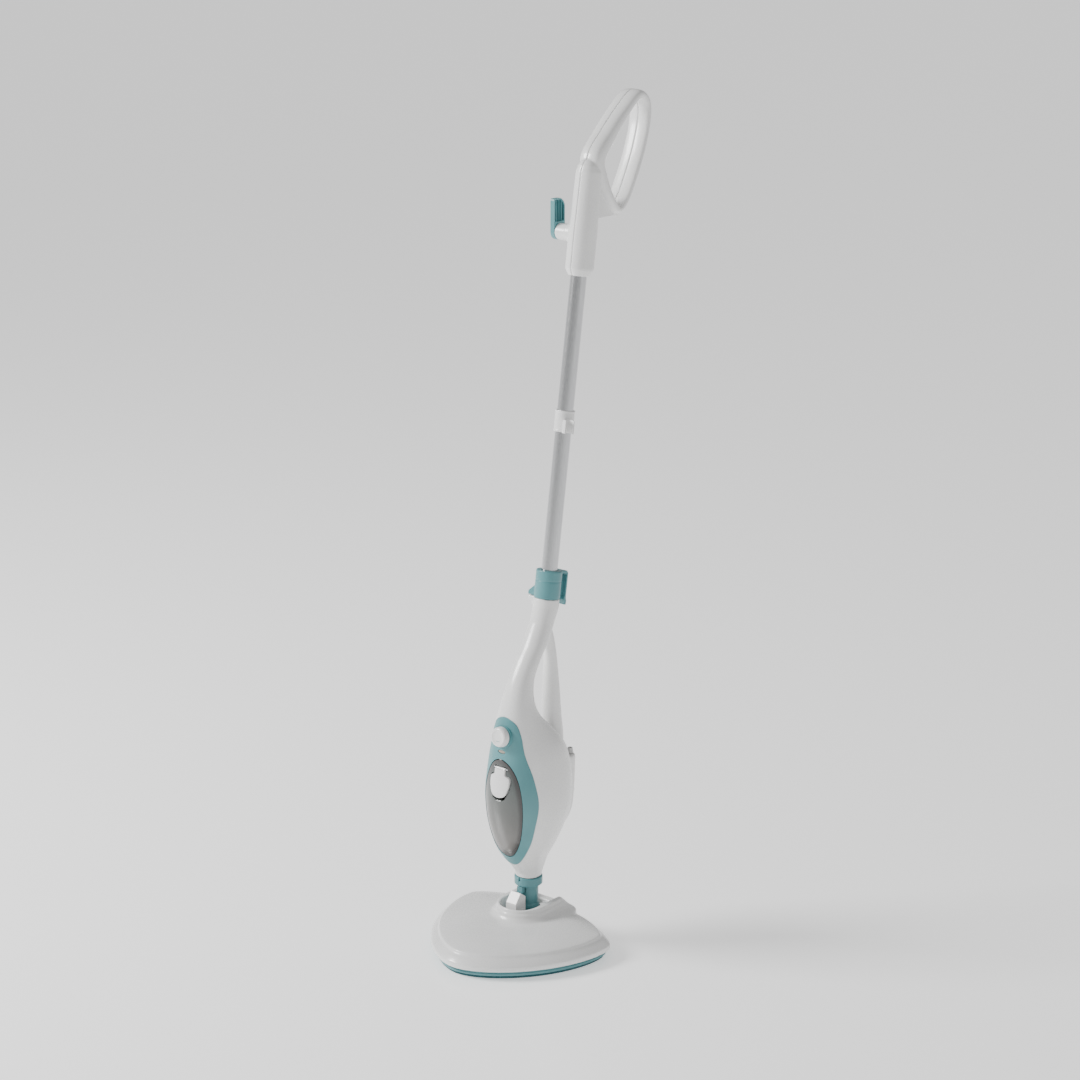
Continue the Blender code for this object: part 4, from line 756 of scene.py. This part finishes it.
def rearRegion(name, offset):
    # everything behind the seam between the casings
    line = curvePoints([(0.1100, 0.1290, 0), (0.0240, 0.1290, 0), (0.0340, 0.1500, 0), (0.0440, 0.1900, 0),
                        (0.0460, 0.2700, 0), (0.0300, 0.3050, 0), (0.0060, 0.3350, 0), (-0.0110, 0.3600, 0),
                        (-0.0040, 0.3855, 0), (0.0095, 0.4105, 0), (0.0265, 0.4344, 0), (0.0400, 0.4600, 0),
                        (0.0500, 0.5100, 0)], 4)
    moved = []
    for k, point in enumerate(line):
        along = (line[min(k + 1, len(line) - 1)] - line[max(k - 1, 0)]).normalized()
        moved.append((point.x + along.y * offset, point.y - along.x * offset))
    return extruded(name, moved + [(0.1400, 0.5100), (0.1400, moved[0][1])], -0.12, 0.12, "X")


def grownOutline(path, grow):
    result = []
    for k, (u, v) in enumerate(path):
        before, after = path[k - 1], path[(k + 1) % len(path)]
        along = Vector((after[0] - before[0], after[1] - before[1])).normalized()
        result.append((u + along.y * grow, v - along.x * grow))
    return result


def bothSides(half):
    return half + [(-x, z) for x, z in reversed(half) if abs(x) > 1e-6]


def bezelOutline(grow=0.0):
    half = [(0.0, 0.1220), (0.0160, 0.1305), (0.0330, 0.1570), (0.0430, 0.1930), (0.0460, 0.2250),
            (0.0405, 0.2590), (0.0300, 0.2930), (0.0240, 0.3180), (0.0160, 0.3345), (0.0, 0.3415)]
    line = curvePoints([(x, z, 0) for x, z in bothSides(half)], 8, closed=True)
    return grownOutline([(point.x, point.y) for point in line], grow)


tankShape = {"middle": 0.2160, "up": 0.0670, "down": 0.0790, "half": 0.0333, "back": -0.0150,
             "filler": 0.0075, "fillerDrop": 0.0210, "outlet": 0.0032, "outletZ": 0.1500, "cell": 0.0008}


def tankOutline(grow=0.0, sides=96):
    ring = []
    for k in range(sides):
        angle = 2 * pi * k / sides - pi / 2
        reach = (tankShape["up"] if sin(angle) > 0 else tankShape["down"]) + grow
        ring.append(((tankShape["half"] + grow) * cos(angle), tankShape["middle"] + reach * sin(angle)))
    return ring


capHinge = jointSpot["tank_cap_flip"]
capFrame = Matrix.Translation(capHinge) @ Matrix.Rotation(atan2(0.0050, 0.0430), 4, "X")
capBarrel = 0.0018


def capOutline(grow=0.0, drop=0.0):
    half = [(0.0, -0.0390 - drop), (0.0045, -0.0388 - drop), (0.0085, -0.0375 - drop), (0.0112, -0.0355),
            (0.0133, -0.0318), (0.0158, -0.0240), (0.0166, -0.0180), (0.0165, -0.0145), (0.0155, -0.0112),
            (0.0118, -0.0092), (0.0098, -0.0083), (0.0089, -0.0065), (0.0088, 0.0)]
    return grownOutline(bothSides(half), grow)


knobSlope = radians(8)
knobFrame = Matrix.Translation(jointSpot["steam_knob_turn"]) @ Matrix.Rotation(pi / 2 - knobSlope, 4, "X")


def makeCasings():
    inner = bodySkin("inside", -bodyShape["wall"], 0.02)
    front = bodySkin("front_casing_shell")
    reach, ring = 0.0295, bodyShape["collar"]
    beak = [(-0.0120, -0.0230), (-ring + 0.0015, -0.0220), (-ring - 0.0025, -0.0120),
            (-reach + 0.0010, -0.0050), (-reach, -0.0010), (-0.0120, -0.0010)]
    worked(front, extruded("beak", beak, -0.0060, 0.0060, "Y", onTube(0.0)), "UNION")
    worked(front, inner, keepTool=True)
    worked(front, rearRegion("rear_half", -seam / 2))
    # the panel laps over the window's edge
    worked(front, extruded("window", bezelOutline(-0.0025), -0.12, -0.004))
    moulded(front, bodyShape["frontCell"], 4)
    finished(front, "upper", whiteAbs, "white_shell", "front_casing")

    rear = bodySkin("rear_casing_shell")
    worked(rear, strutSkin("strut"), "UNION")
    worked(rear, humpSkin("hump"), "UNION")
    worked(rear, inner)
    worked(rear, humpSkin("hump_inside", -bodyShape["wall"]))
    worked(rear, strutSkin("strut_inside", -bodyShape["wall"]))
    worked(rear, rearRegion("keep", seam / 2), "INTERSECT")
    for name in ("casing_screw_left", "casing_screw_right"):
        low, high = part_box(name)
        x, z = (low.x + high.x) / 2, (low.z + high.z) / 2
        worked(rear, bar("boss", 0.0050, (x, 0.0470, z), (x, humpShape["rear"] - 0.0052, z), 40), "UNION")
        bored(rear, 0.0018, (x, 0.04, z), (x, 0.09, z), 24)
        bored(rear, 0.0038, (x, 0.0640, z), (x, 0.09, z), 40)
    low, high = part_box("cord_gland")
    x, y = (low.x + high.x) / 2, (low.y + high.y) / 2
    bored(rear, 0.0037, (x, y, low.z - 0.01), (x, y, high.z + 0.01), 40)
    moulded(rear, bodyShape["rearCell"], 4)
    finished(rear, "upper", whiteAbs, "white_shell", "rear_casing")


lampShape = {"half": 0.0062, "tall": 0.0022, "middle": 0.2935, "sides": 48}


def lampOutline(grow=0.0):
    angles = [2 * pi * k / lampShape["sides"] for k in range(lampShape["sides"])]
    return grownOutline([(lampShape["half"] * cos(a), lampShape["middle"] + lampShape["tall"] * sin(a))
                         for a in angles], grow)


def makePanel():
    bezel = bodySkin("front_bezel_panel", 0.0010, finer=2)
    radius = (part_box("steam_knob")[1].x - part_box("steam_knob")[0].x) / 2 - 0.0006
    worked(bezel, bar("seat", radius + 0.0010, (0, 0, -0.0070), (0, 0, 0.0004), 96, knobFrame), "UNION")
    worked(bezel, extruded("panel", bezelOutline(), -0.12, -0.004), "INTERSECT")
    worked(bezel, bodySkin("panel_inside", -0.0022, 0.02))
    worked(bezel, extruded("window", tankOutline(0.0004), -0.12, 0.0))
    bored(bezel, 0.0043, (0, 0, -0.02), (0, 0, 0.02), 48, knobFrame)
    worked(bezel, extruded("lamp_window", lampOutline(0.0004), -0.12, 0.0))
    edged(bezel, 0.0005)
    finished(bezel, "upper", tealAbs, "teal_plastic", "front_bezel", shaded=True)

    lens = bodySkin("pilot_lens_window", 0.0004)
    worked(lens, extruded("lamp", lampOutline(), -0.12, -0.004), "INTERSECT")
    worked(lens, bodySkin("lamp_inside", -0.0030, 0.02))
    moulded(lens, 0.00035, 3)
    finished(lens, "upper", lensAcrylic, "lens", "pilot_lens")


knobShape = {"radius": 0.0142, "height": 0.0100, "mark": 0.0078, "markWidth": 0.0024, "markSteps": 24}


def makeKnob():
    r, h = knobShape["radius"], knobShape["height"]
    # a drum with a rounded shoulder and a shallow dish in its face
    profile = [(0, 0.0012), (r - 0.0006, 0.0012), (r, 0.0022), (r - 0.0005, h - 0.0030),
               (r - 0.0014, h - 0.0012), (r - 0.0030, h - 0.0001), (r - 0.0042, h), (r - 0.0056, h - 0.0005),
               (0.0050, h - 0.0009), (0, h - 0.0009)]
    knob = spun("steam_knob_drum", profile, 96, knobFrame)
    tab = [(-r + 0.0020, 0.0030), (-r + 0.0020, -0.0030), (-r - 0.0006, -0.0022), (-r - 0.0021, -0.0009),
           (-r - 0.0021, 0.0009), (-r - 0.0006, 0.0022)]
    worked(knob, extruded("pointer", tab, 0.0030, h - 0.0035, "Z", knobFrame), "UNION")
    bored(knob, 0.0043, (0, 0, -0.005), (0, 0, 0.0060), 48, knobFrame)
    moulded(knob, 0.00040, 3)
    finished(knob, "steam_knob", whiteAbs, "white_shell", "steam_knob")
    # a printed crescent that tapers to both ends shows which way gives more steam
    reach, steps = knobShape["mark"], knobShape["markSteps"]
    arc = [radians(200 + 150 * k / steps) for k in range(steps + 1)]
    outer = [(reach * cos(a), reach * sin(a)) for a in arc]
    inner = []
    for k, a in enumerate(reversed(arc)):
        width = knobShape["markWidth"] * sin(pi * k / steps) + 0.0001
        inner.append(((reach - width) * cos(a), (reach - width) * sin(a)))
    mark = extruded("knob_crescent", outer + inner, h - 0.0012, h - 0.00078, "Z", knobFrame)
    finished(mark, "steam_knob", tealAbs, "teal_plastic")


def makeTank():
    tank = bodySkin("smoked_tank_window", 0.0006)
    worked(tank, extruded("egg", tankOutline(), -0.12, tankShape["back"]), "INTERSECT")
    hollow = bodySkin("hollow", -0.0040)
    worked(hollow, extruded("limit", tankOutline(-0.0030), -0.12, tankShape["back"] - 0.0030), "INTERSECT")
    worked(tank, extruded("recess", capOutline(0.0012, 0.0035), -0.03, capBarrel + seam, "Y", capFrame))
    worked(tank, block("recess_top", (-0.0100, -0.03, -0.004), (0.0100, capBarrel + seam, 0.0034), capFrame))
    worked(tank, hollow)
    drop = -tankShape["fillerDrop"]
    bored(tank, tankShape["filler"], (0, -0.01, drop), (0, 0.010, drop), 48, capFrame)
    bored(tank, 0.0009, (-0.0130, 0, 0), (0.0130, 0, 0), 16, capFrame)
    back, outletZ = tankShape["back"], tankShape["outletZ"]
    bored(tank, tankShape["outlet"], (0, back - 0.01, outletZ), (0, back + 0.01, outletZ), 32)
    moulded(tank, tankShape["cell"], 2)
    finished(tank, "upper", tankSan, "smoked_tank", "water_tank")

    cap = bodySkin("tank_flap", 0.0022)
    worked(cap, extruded("flap", capOutline(), -0.03, capBarrel, "Y", capFrame), "INTERSECT")
    worked(cap, bar("barrel", capBarrel, (-0.0088, 0, 0), (0.0088, 0, 0), 32, capFrame), "UNION")
    bored(cap, 0.0010, (-0.02, 0, 0), (0.02, 0, 0), 16, capFrame)
    moulded(cap, 0.00045, 4)
    finished(cap, "tank_cap", whiteAbs, "white_shell", "tank_cap")


makeCasings()
print("casings made")
makePanel()
makeKnob()
makeTank()
print("panel and tank made")


# ---- collar, tube and clip ----

tubeShape = {"radius": 0.0110, "wall": 0.0010, "start": -0.0185, "end": 0.5190}
collarShape = {"radius": 0.0180, "length": 0.0385, "hookGap": 0.0080, "hookReach": 0.0112,
               "hookTip": -0.0105, "hookHalf": 0.0105}


def makeCollar():
    r, length, bore = collarShape["radius"], collarShape["length"], tubeShape["radius"] + seam
    place = onTube(0.0)
    profile = [(bore, 0.0), (r - 0.0004, 0.0), (r, 0.0006), (r, length * 0.60), (r - 0.0004, length * 0.62),
               (r - 0.0004, length * 0.65), (r, length * 0.67), (r, length - 0.0008), (r - 0.0008, length),
               (bore, length)]
    collar = spun("tube_collar_ring", profile, 96, place)
    inner, outer = r + collarShape["hookGap"], r + collarShape["hookReach"]
    tip, top, half = collarShape["hookTip"], length - 0.0010, collarShape["hookHalf"]
    hook = [(r - 0.003, top), (r - 0.003, top - 0.0032), (inner - 0.0018, top - 0.0032),
            (inner, top - 0.0055), (inner, 0.0040), (inner - 0.0020, -0.0030), (inner + 0.0010, tip),
            (inner + 0.0040, tip), (outer + 0.0016, -0.0060), (outer, 0.0), (outer, top - 0.0035),
            (outer - 0.0030, top)]
    worked(collar, extruded("hook", hook, -half, half, "X", place), "UNION")
    worked(collar, block("pocket", (-r - 0.02, -0.0052, -0.01), (-bore - 0.0012, 0.0052, 0.0155), place))
    moulded(collar, 0.0006, 3)
    finished(collar, "upper", tealAbs, "teal_plastic", "tube_collar")

    back, tipX = -r + 0.0025, -r - 0.0115
    shape = [(back, 0.0002), (back, 0.0150), (-r - 0.0005, 0.0150), (tipX, 0.0052), (tipX, 0.0002)]
    button = extruded("release_button_pad", shape, -0.0048, 0.0048, "Y", place)
    bored(button, 0.0026, (back - 0.0080, 0, 0.0072), (0, 0, 0.0072), 32, place)
    moulded(button, 0.00035, 4)
    finished(button, "release_button", tealAbs, "teal_plastic", "release_button")


def makeTube():
    r, wall = tubeShape["radius"], tubeShape["wall"]
    start, end, edge = tubeShape["start"], tubeShape["end"], 0.0002
    profile = [(r - wall, start + edge), (r - wall + edge, start), (r - edge, start), (r, start + edge),
               (r, end - edge), (r - edge, end), (r - wall + edge, end), (r - wall, end - edge)]
    tube = spun("tube_drawn", profile, 128, onTube(0.0))
    tube.data.set_sharp_from_angle(angle=radians(30))
    finished(tube, "upper", aluminium, "aluminium", "aluminium_tube")


clipShape = {"at": 0.2290, "height": 0.0290, "wall": 0.0017, "jaw": 0.0060, "swing": radians(-35)}


def makeClip():
    r = tubeShape["radius"]
    height, jaw, wall = clipShape["height"], clipShape["jaw"], clipShape["wall"]
    outer = r + 0.0022
    place = onTube(clipShape["at"])
    profile = [(r + seam, 0.0), (outer + 0.0004, 0.0), (outer + 0.0004, 0.0022), (outer, 0.0030),
               (outer, height - 0.0030), (outer + 0.0004, height - 0.0022), (outer + 0.0004, height),
               (r + seam, height)]
    clip = spun("cord_clip_ring", profile, 96, place)
    centre = outer + jaw + 0.0008
    arc = [radians(a) for a in range(48, 313, 8)]
    channel = [(centre + (jaw + wall) * cos(a), (jaw + wall) * sin(a)) for a in arc]
    channel += [(centre + jaw + 0.0028, -jaw - 0.0006), (centre + jaw + 0.0020, -jaw + 0.0012)]
    channel += [(centre + jaw * cos(a), jaw * sin(a)) for a in reversed(arc)]
    channel += [(centre + jaw + 0.0020, jaw - 0.0012), (centre + jaw + 0.0028, jaw + 0.0006)]
    swung = place @ Matrix.Rotation(clipShape["swing"], 4, "Z")
    worked(clip, extruded("channel", channel, 0.0, height * 0.62, "Z", swung), "UNION")
    bored(clip, r + 0.0005, (0, 0, -0.01), (0, 0, 0.05), 96, place)
    moulded(clip, 0.00045, 3)
    finished(clip, "cord_clip", whiteAbs, "white_shell", "cord_clip")


makeCollar()
makeTube()
makeClip()
print("collar, tube and clip made")


# ---- upper handle ----

handleShape = {"stemStart": 0.4390, "stemLength": 0.1560, "stem": 0.0185, "socketEnd": 0.5193,
               "halfStrap": 0.0172, "pegAt": 0.4945, "peg": 0.0114, "pegEnd": 0.0400, "cell": 0.0009}
# y, z and half thickness round the middle line of the D loop
loopLine = [(0.1340, 1.0770, 0.0125), (0.1580, 1.1060, 0.0105), (0.1870, 1.1340, 0.0085),
            (0.2170, 1.1557, 0.0068), (0.2345, 1.1440, 0.0060), (0.2350, 1.1180, 0.0056),
            (0.2245, 1.0830, 0.0056), (0.2080, 1.0480, 0.0056), (0.1900, 1.0180, 0.0056),
            (0.1740, 1.0065, 0.0062), (0.1570, 1.0230, 0.0072), (0.1420, 1.0500, 0.0095)]


def loopRings():
    line = curvePoints(loopLine, 10, closed=True)
    rings = []
    for k, point in enumerate(line):
        ahead, behind = line[(k + 1) % len(line)], line[k - 1]
        along = Vector((ahead.x - behind.x, ahead.y - behind.y)).normalized()
        out = Vector((along.y, -along.x))
        ring = []
        for j in range(40):
            angle = 2 * pi * j / 40
            c, s = cos(angle), sin(angle)
            across = handleShape["halfStrap"] * abs(s) ** 0.75 * (1 if s >= 0 else -1)
            reach = point.z * abs(c) ** 0.75 * (1 if c >= 0 else -1)
            ring.append((across, point.x + out.x * reach, point.y + out.y * reach))
        rings.append(ring)
    return rings


def handleSolid(name):
    low, stem = handleShape["stemStart"], handleShape["stem"]
    high = low + handleShape["stemLength"]
    radius = stem + 0.0008
    profile = [(0, low), (tubeShape["radius"] + 0.0022, low), (tubeShape["radius"] + 0.0034, low + 0.0006),
               (radius - 0.0006, low + 0.0080), (radius, low + 0.0105), (radius, low + 0.060),
               (stem, low + 0.085), (stem - 0.0010, high - 0.0180), (stem - 0.0032, high - 0.0095),
               (stem - 0.0066, high - 0.0040), (stem - 0.0120, high), (0, high + 0.0006)]
    handle = spun(name, profile, 96, onTube(0.0))
    worked(handle, lofted("loop", loopRings(), closed=True), "UNION")
    web = [(0.1200, 0.9975), (0.1790, 0.9975), (0.1740, 1.0065), (0.1570, 1.0230), (0.1420, 1.0500),
           (0.1250, 1.0500)]
    worked(handle, extruded("web", web, -0.0080, 0.0080, "X"), "UNION")
    place = onTube(handleShape["pegAt"])
    end = -handleShape["pegEnd"] + seam
    worked(handle, bar("peg", handleShape["peg"], (end, 0, 0), (-0.004, 0, 0), 64, place), "UNION")
    worked(handle, bar("peg_root", handleShape["peg"] + 0.0016, (-0.0225, 0, 0), (-0.004, 0, 0), 64, place),
           "UNION")
    deep = handleShape["socketEnd"]
    bored(handle, tubeShape["radius"] + seam, (0, 0, 0.3), (0, 0, deep), 96, onTube(0.0))
    return handle


def makeHandle():
    whole = handleSolid("handle_whole")
    for name, side in (("handle_left", -1), ("handle_right", 1)):
        half = bpy.data.objects.new(name + "_shell", whole.data.copy())
        bpy.context.scene.collection.objects.link(half)
        near, far = sorted((side * seam / 2, side * 0.2))
        worked(half, block("keep", (near, -0.1, 0.8), (far, 0.5, 1.3)), "INTERSECT")
        for k in (1, 2, 3):
            low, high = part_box(f"handle_screw_{k}")
            y, z = (low.y + high.y) / 2, (low.z + high.z) / 2
            bored(half, 0.0018, (-0.0090, y, z), (0.0090, y, z), 24)
            if side < 0:
                bored(half, 0.0037, (-0.06, y, z), (-0.0070, y, z), 40)
        if side < 0:
            place = onTube(handleShape["pegAt"])
            bored(half, 0.0018, (-0.06, 0, 0), (-0.0180, 0, 0), 24, place)
        moulded(half, handleShape["cell"], 3)
        finished(half, "upper", whiteAbs, "white_shell", name)
    bpy.data.objects.remove(whole)


hookShape = {"thick": 0.0070, "height": 0.0560, "rim": 0.0022}


def makeHook():
    centre = jointSpot["cord_hook_turn"]
    upright = Matrix.Translation(centre)
    peg = handleShape["peg"]
    high, half = hookShape["height"] - peg, peg
    outline = [(half * cos(a), half * sin(a)) for a in (pi + pi * k / 24 for k in range(25))]
    outline += [(half, high - 0.0120), (half - 0.0008, high - 0.0085), (half - 0.0026, high - 0.0050),
                (half - 0.0065, high - 0.0015), (half - 0.0090, high - 0.0002), (0.0, high),
                (-half + 0.0025, high), (-half + 0.0006, high - 0.0008), (-half, high - 0.0030)]
    end = -handleShape["pegEnd"]
    start = end - hookShape["thick"]
    hook = extruded("cord_hook_plate", outline, start, end, "X", upright)
    rim = hookShape["rim"]
    floorZ = peg + 0.0020
    pocket = [(y, z) for y, z in grownOutline(outline, -rim) if z > floorZ]
    pocket = [(-half + rim, floorZ), (half - rim, floorZ)] + pocket
    worked(hook, extruded("pocket", pocket, start + 0.0022, end + 0.01, "X", upright))
    for k in range(3):
        y = 0.0050 * (k - 1)
        worked(hook, block("rib", (start + 0.001, y - 0.0006, peg), (end - 0.0012, y + 0.0006, high - 0.0030),
                           upright), "UNION")
    bored(hook, 0.0019, (-0.08, 0, 0), (0.0, 0, 0), 32, upright)
    bored(hook, 0.0036, (-0.08, 0, 0), (start + 0.0028, 0, 0), 40, upright)
    moulded(hook, 0.0004, 3)
    finished(hook, "cord_hook", tealAbs, "teal_plastic", "cord_hook")


makeHandle()
makeHook()
print("handle and hook made")


# ---- floor, light and camera ----

stageLook = {"floor": "#FFFFFF", "world": "#FFFFFF", "worldStrength": 0.42, "keyWatts": 165, "fillWatts": 3,
             "glow": 0.60}
# name, watts, size in metres, place
lampRows = [("key", stageLook["keyWatts"], 1.2, (-2.4, -2.0, 2.3)),
            ("fill", stageLook["fillWatts"], 2.0, (2.6, 0.6, 1.6))]
cameraView = {"lensMm": 87.8, "sensorMm": 36, "place": (2.198, -2.594, 1.55), "aim": (0.0123, 0.0103, 0.58)}


def makeStage():
    bm = bmesh.new()
    bmesh.ops.create_grid(bm, x_segments=1, y_segments=1, size=60)
    bmesh.ops.translate(bm, vec=(0, 0, -0.0002), verts=bm.verts)
    floor = newPiece(bm, "floor")
    paint, _, shader = newMaterial("pale_painted_floor")
    setShader(shader, Base_Color=linear(stageLook["floor"]), Roughness=0.28,
              Emission_Color=(1, 1, 1, 1), Emission_Strength=stageLook["glow"])
    floor.data.materials.append(paint)
    world = bpy.data.worlds.new("studio")
    world.use_nodes = True
    backdrop = world.node_tree.nodes["Background"]
    backdrop.inputs["Color"].default_value = linear(stageLook["world"])
    backdrop.inputs["Strength"].default_value = stageLook["worldStrength"]
    bpy.context.scene.world = world
    for name, watts, size, spot in lampRows:
        lamp = bpy.data.lights.new(name, "AREA")
        lamp.energy = watts
        lamp.size = size
        holder = bpy.data.objects.new(name, lamp)
        holder.location = spot
        holder.rotation_euler = (Vector((0, 0, 0.5)) - Vector(spot)).to_track_quat("-Z", "Y").to_euler()
        bpy.context.scene.collection.objects.link(holder)


def makeCamera():
    lens = bpy.data.cameras.new("camera")
    lens.sensor_width = cameraView["sensorMm"]
    lens.lens = cameraView["lensMm"]
    holder = bpy.data.objects.new("camera", lens)
    holder.location = cameraView["place"]
    aim = Vector(cameraView["aim"]) - Vector(holder.location)
    holder.rotation_euler = aim.to_track_quat("-Z", "Y").to_euler()
    bpy.context.scene.collection.objects.link(holder)
    bpy.context.scene.camera = holder


makeStage()
makeCamera()
print("scene ready")
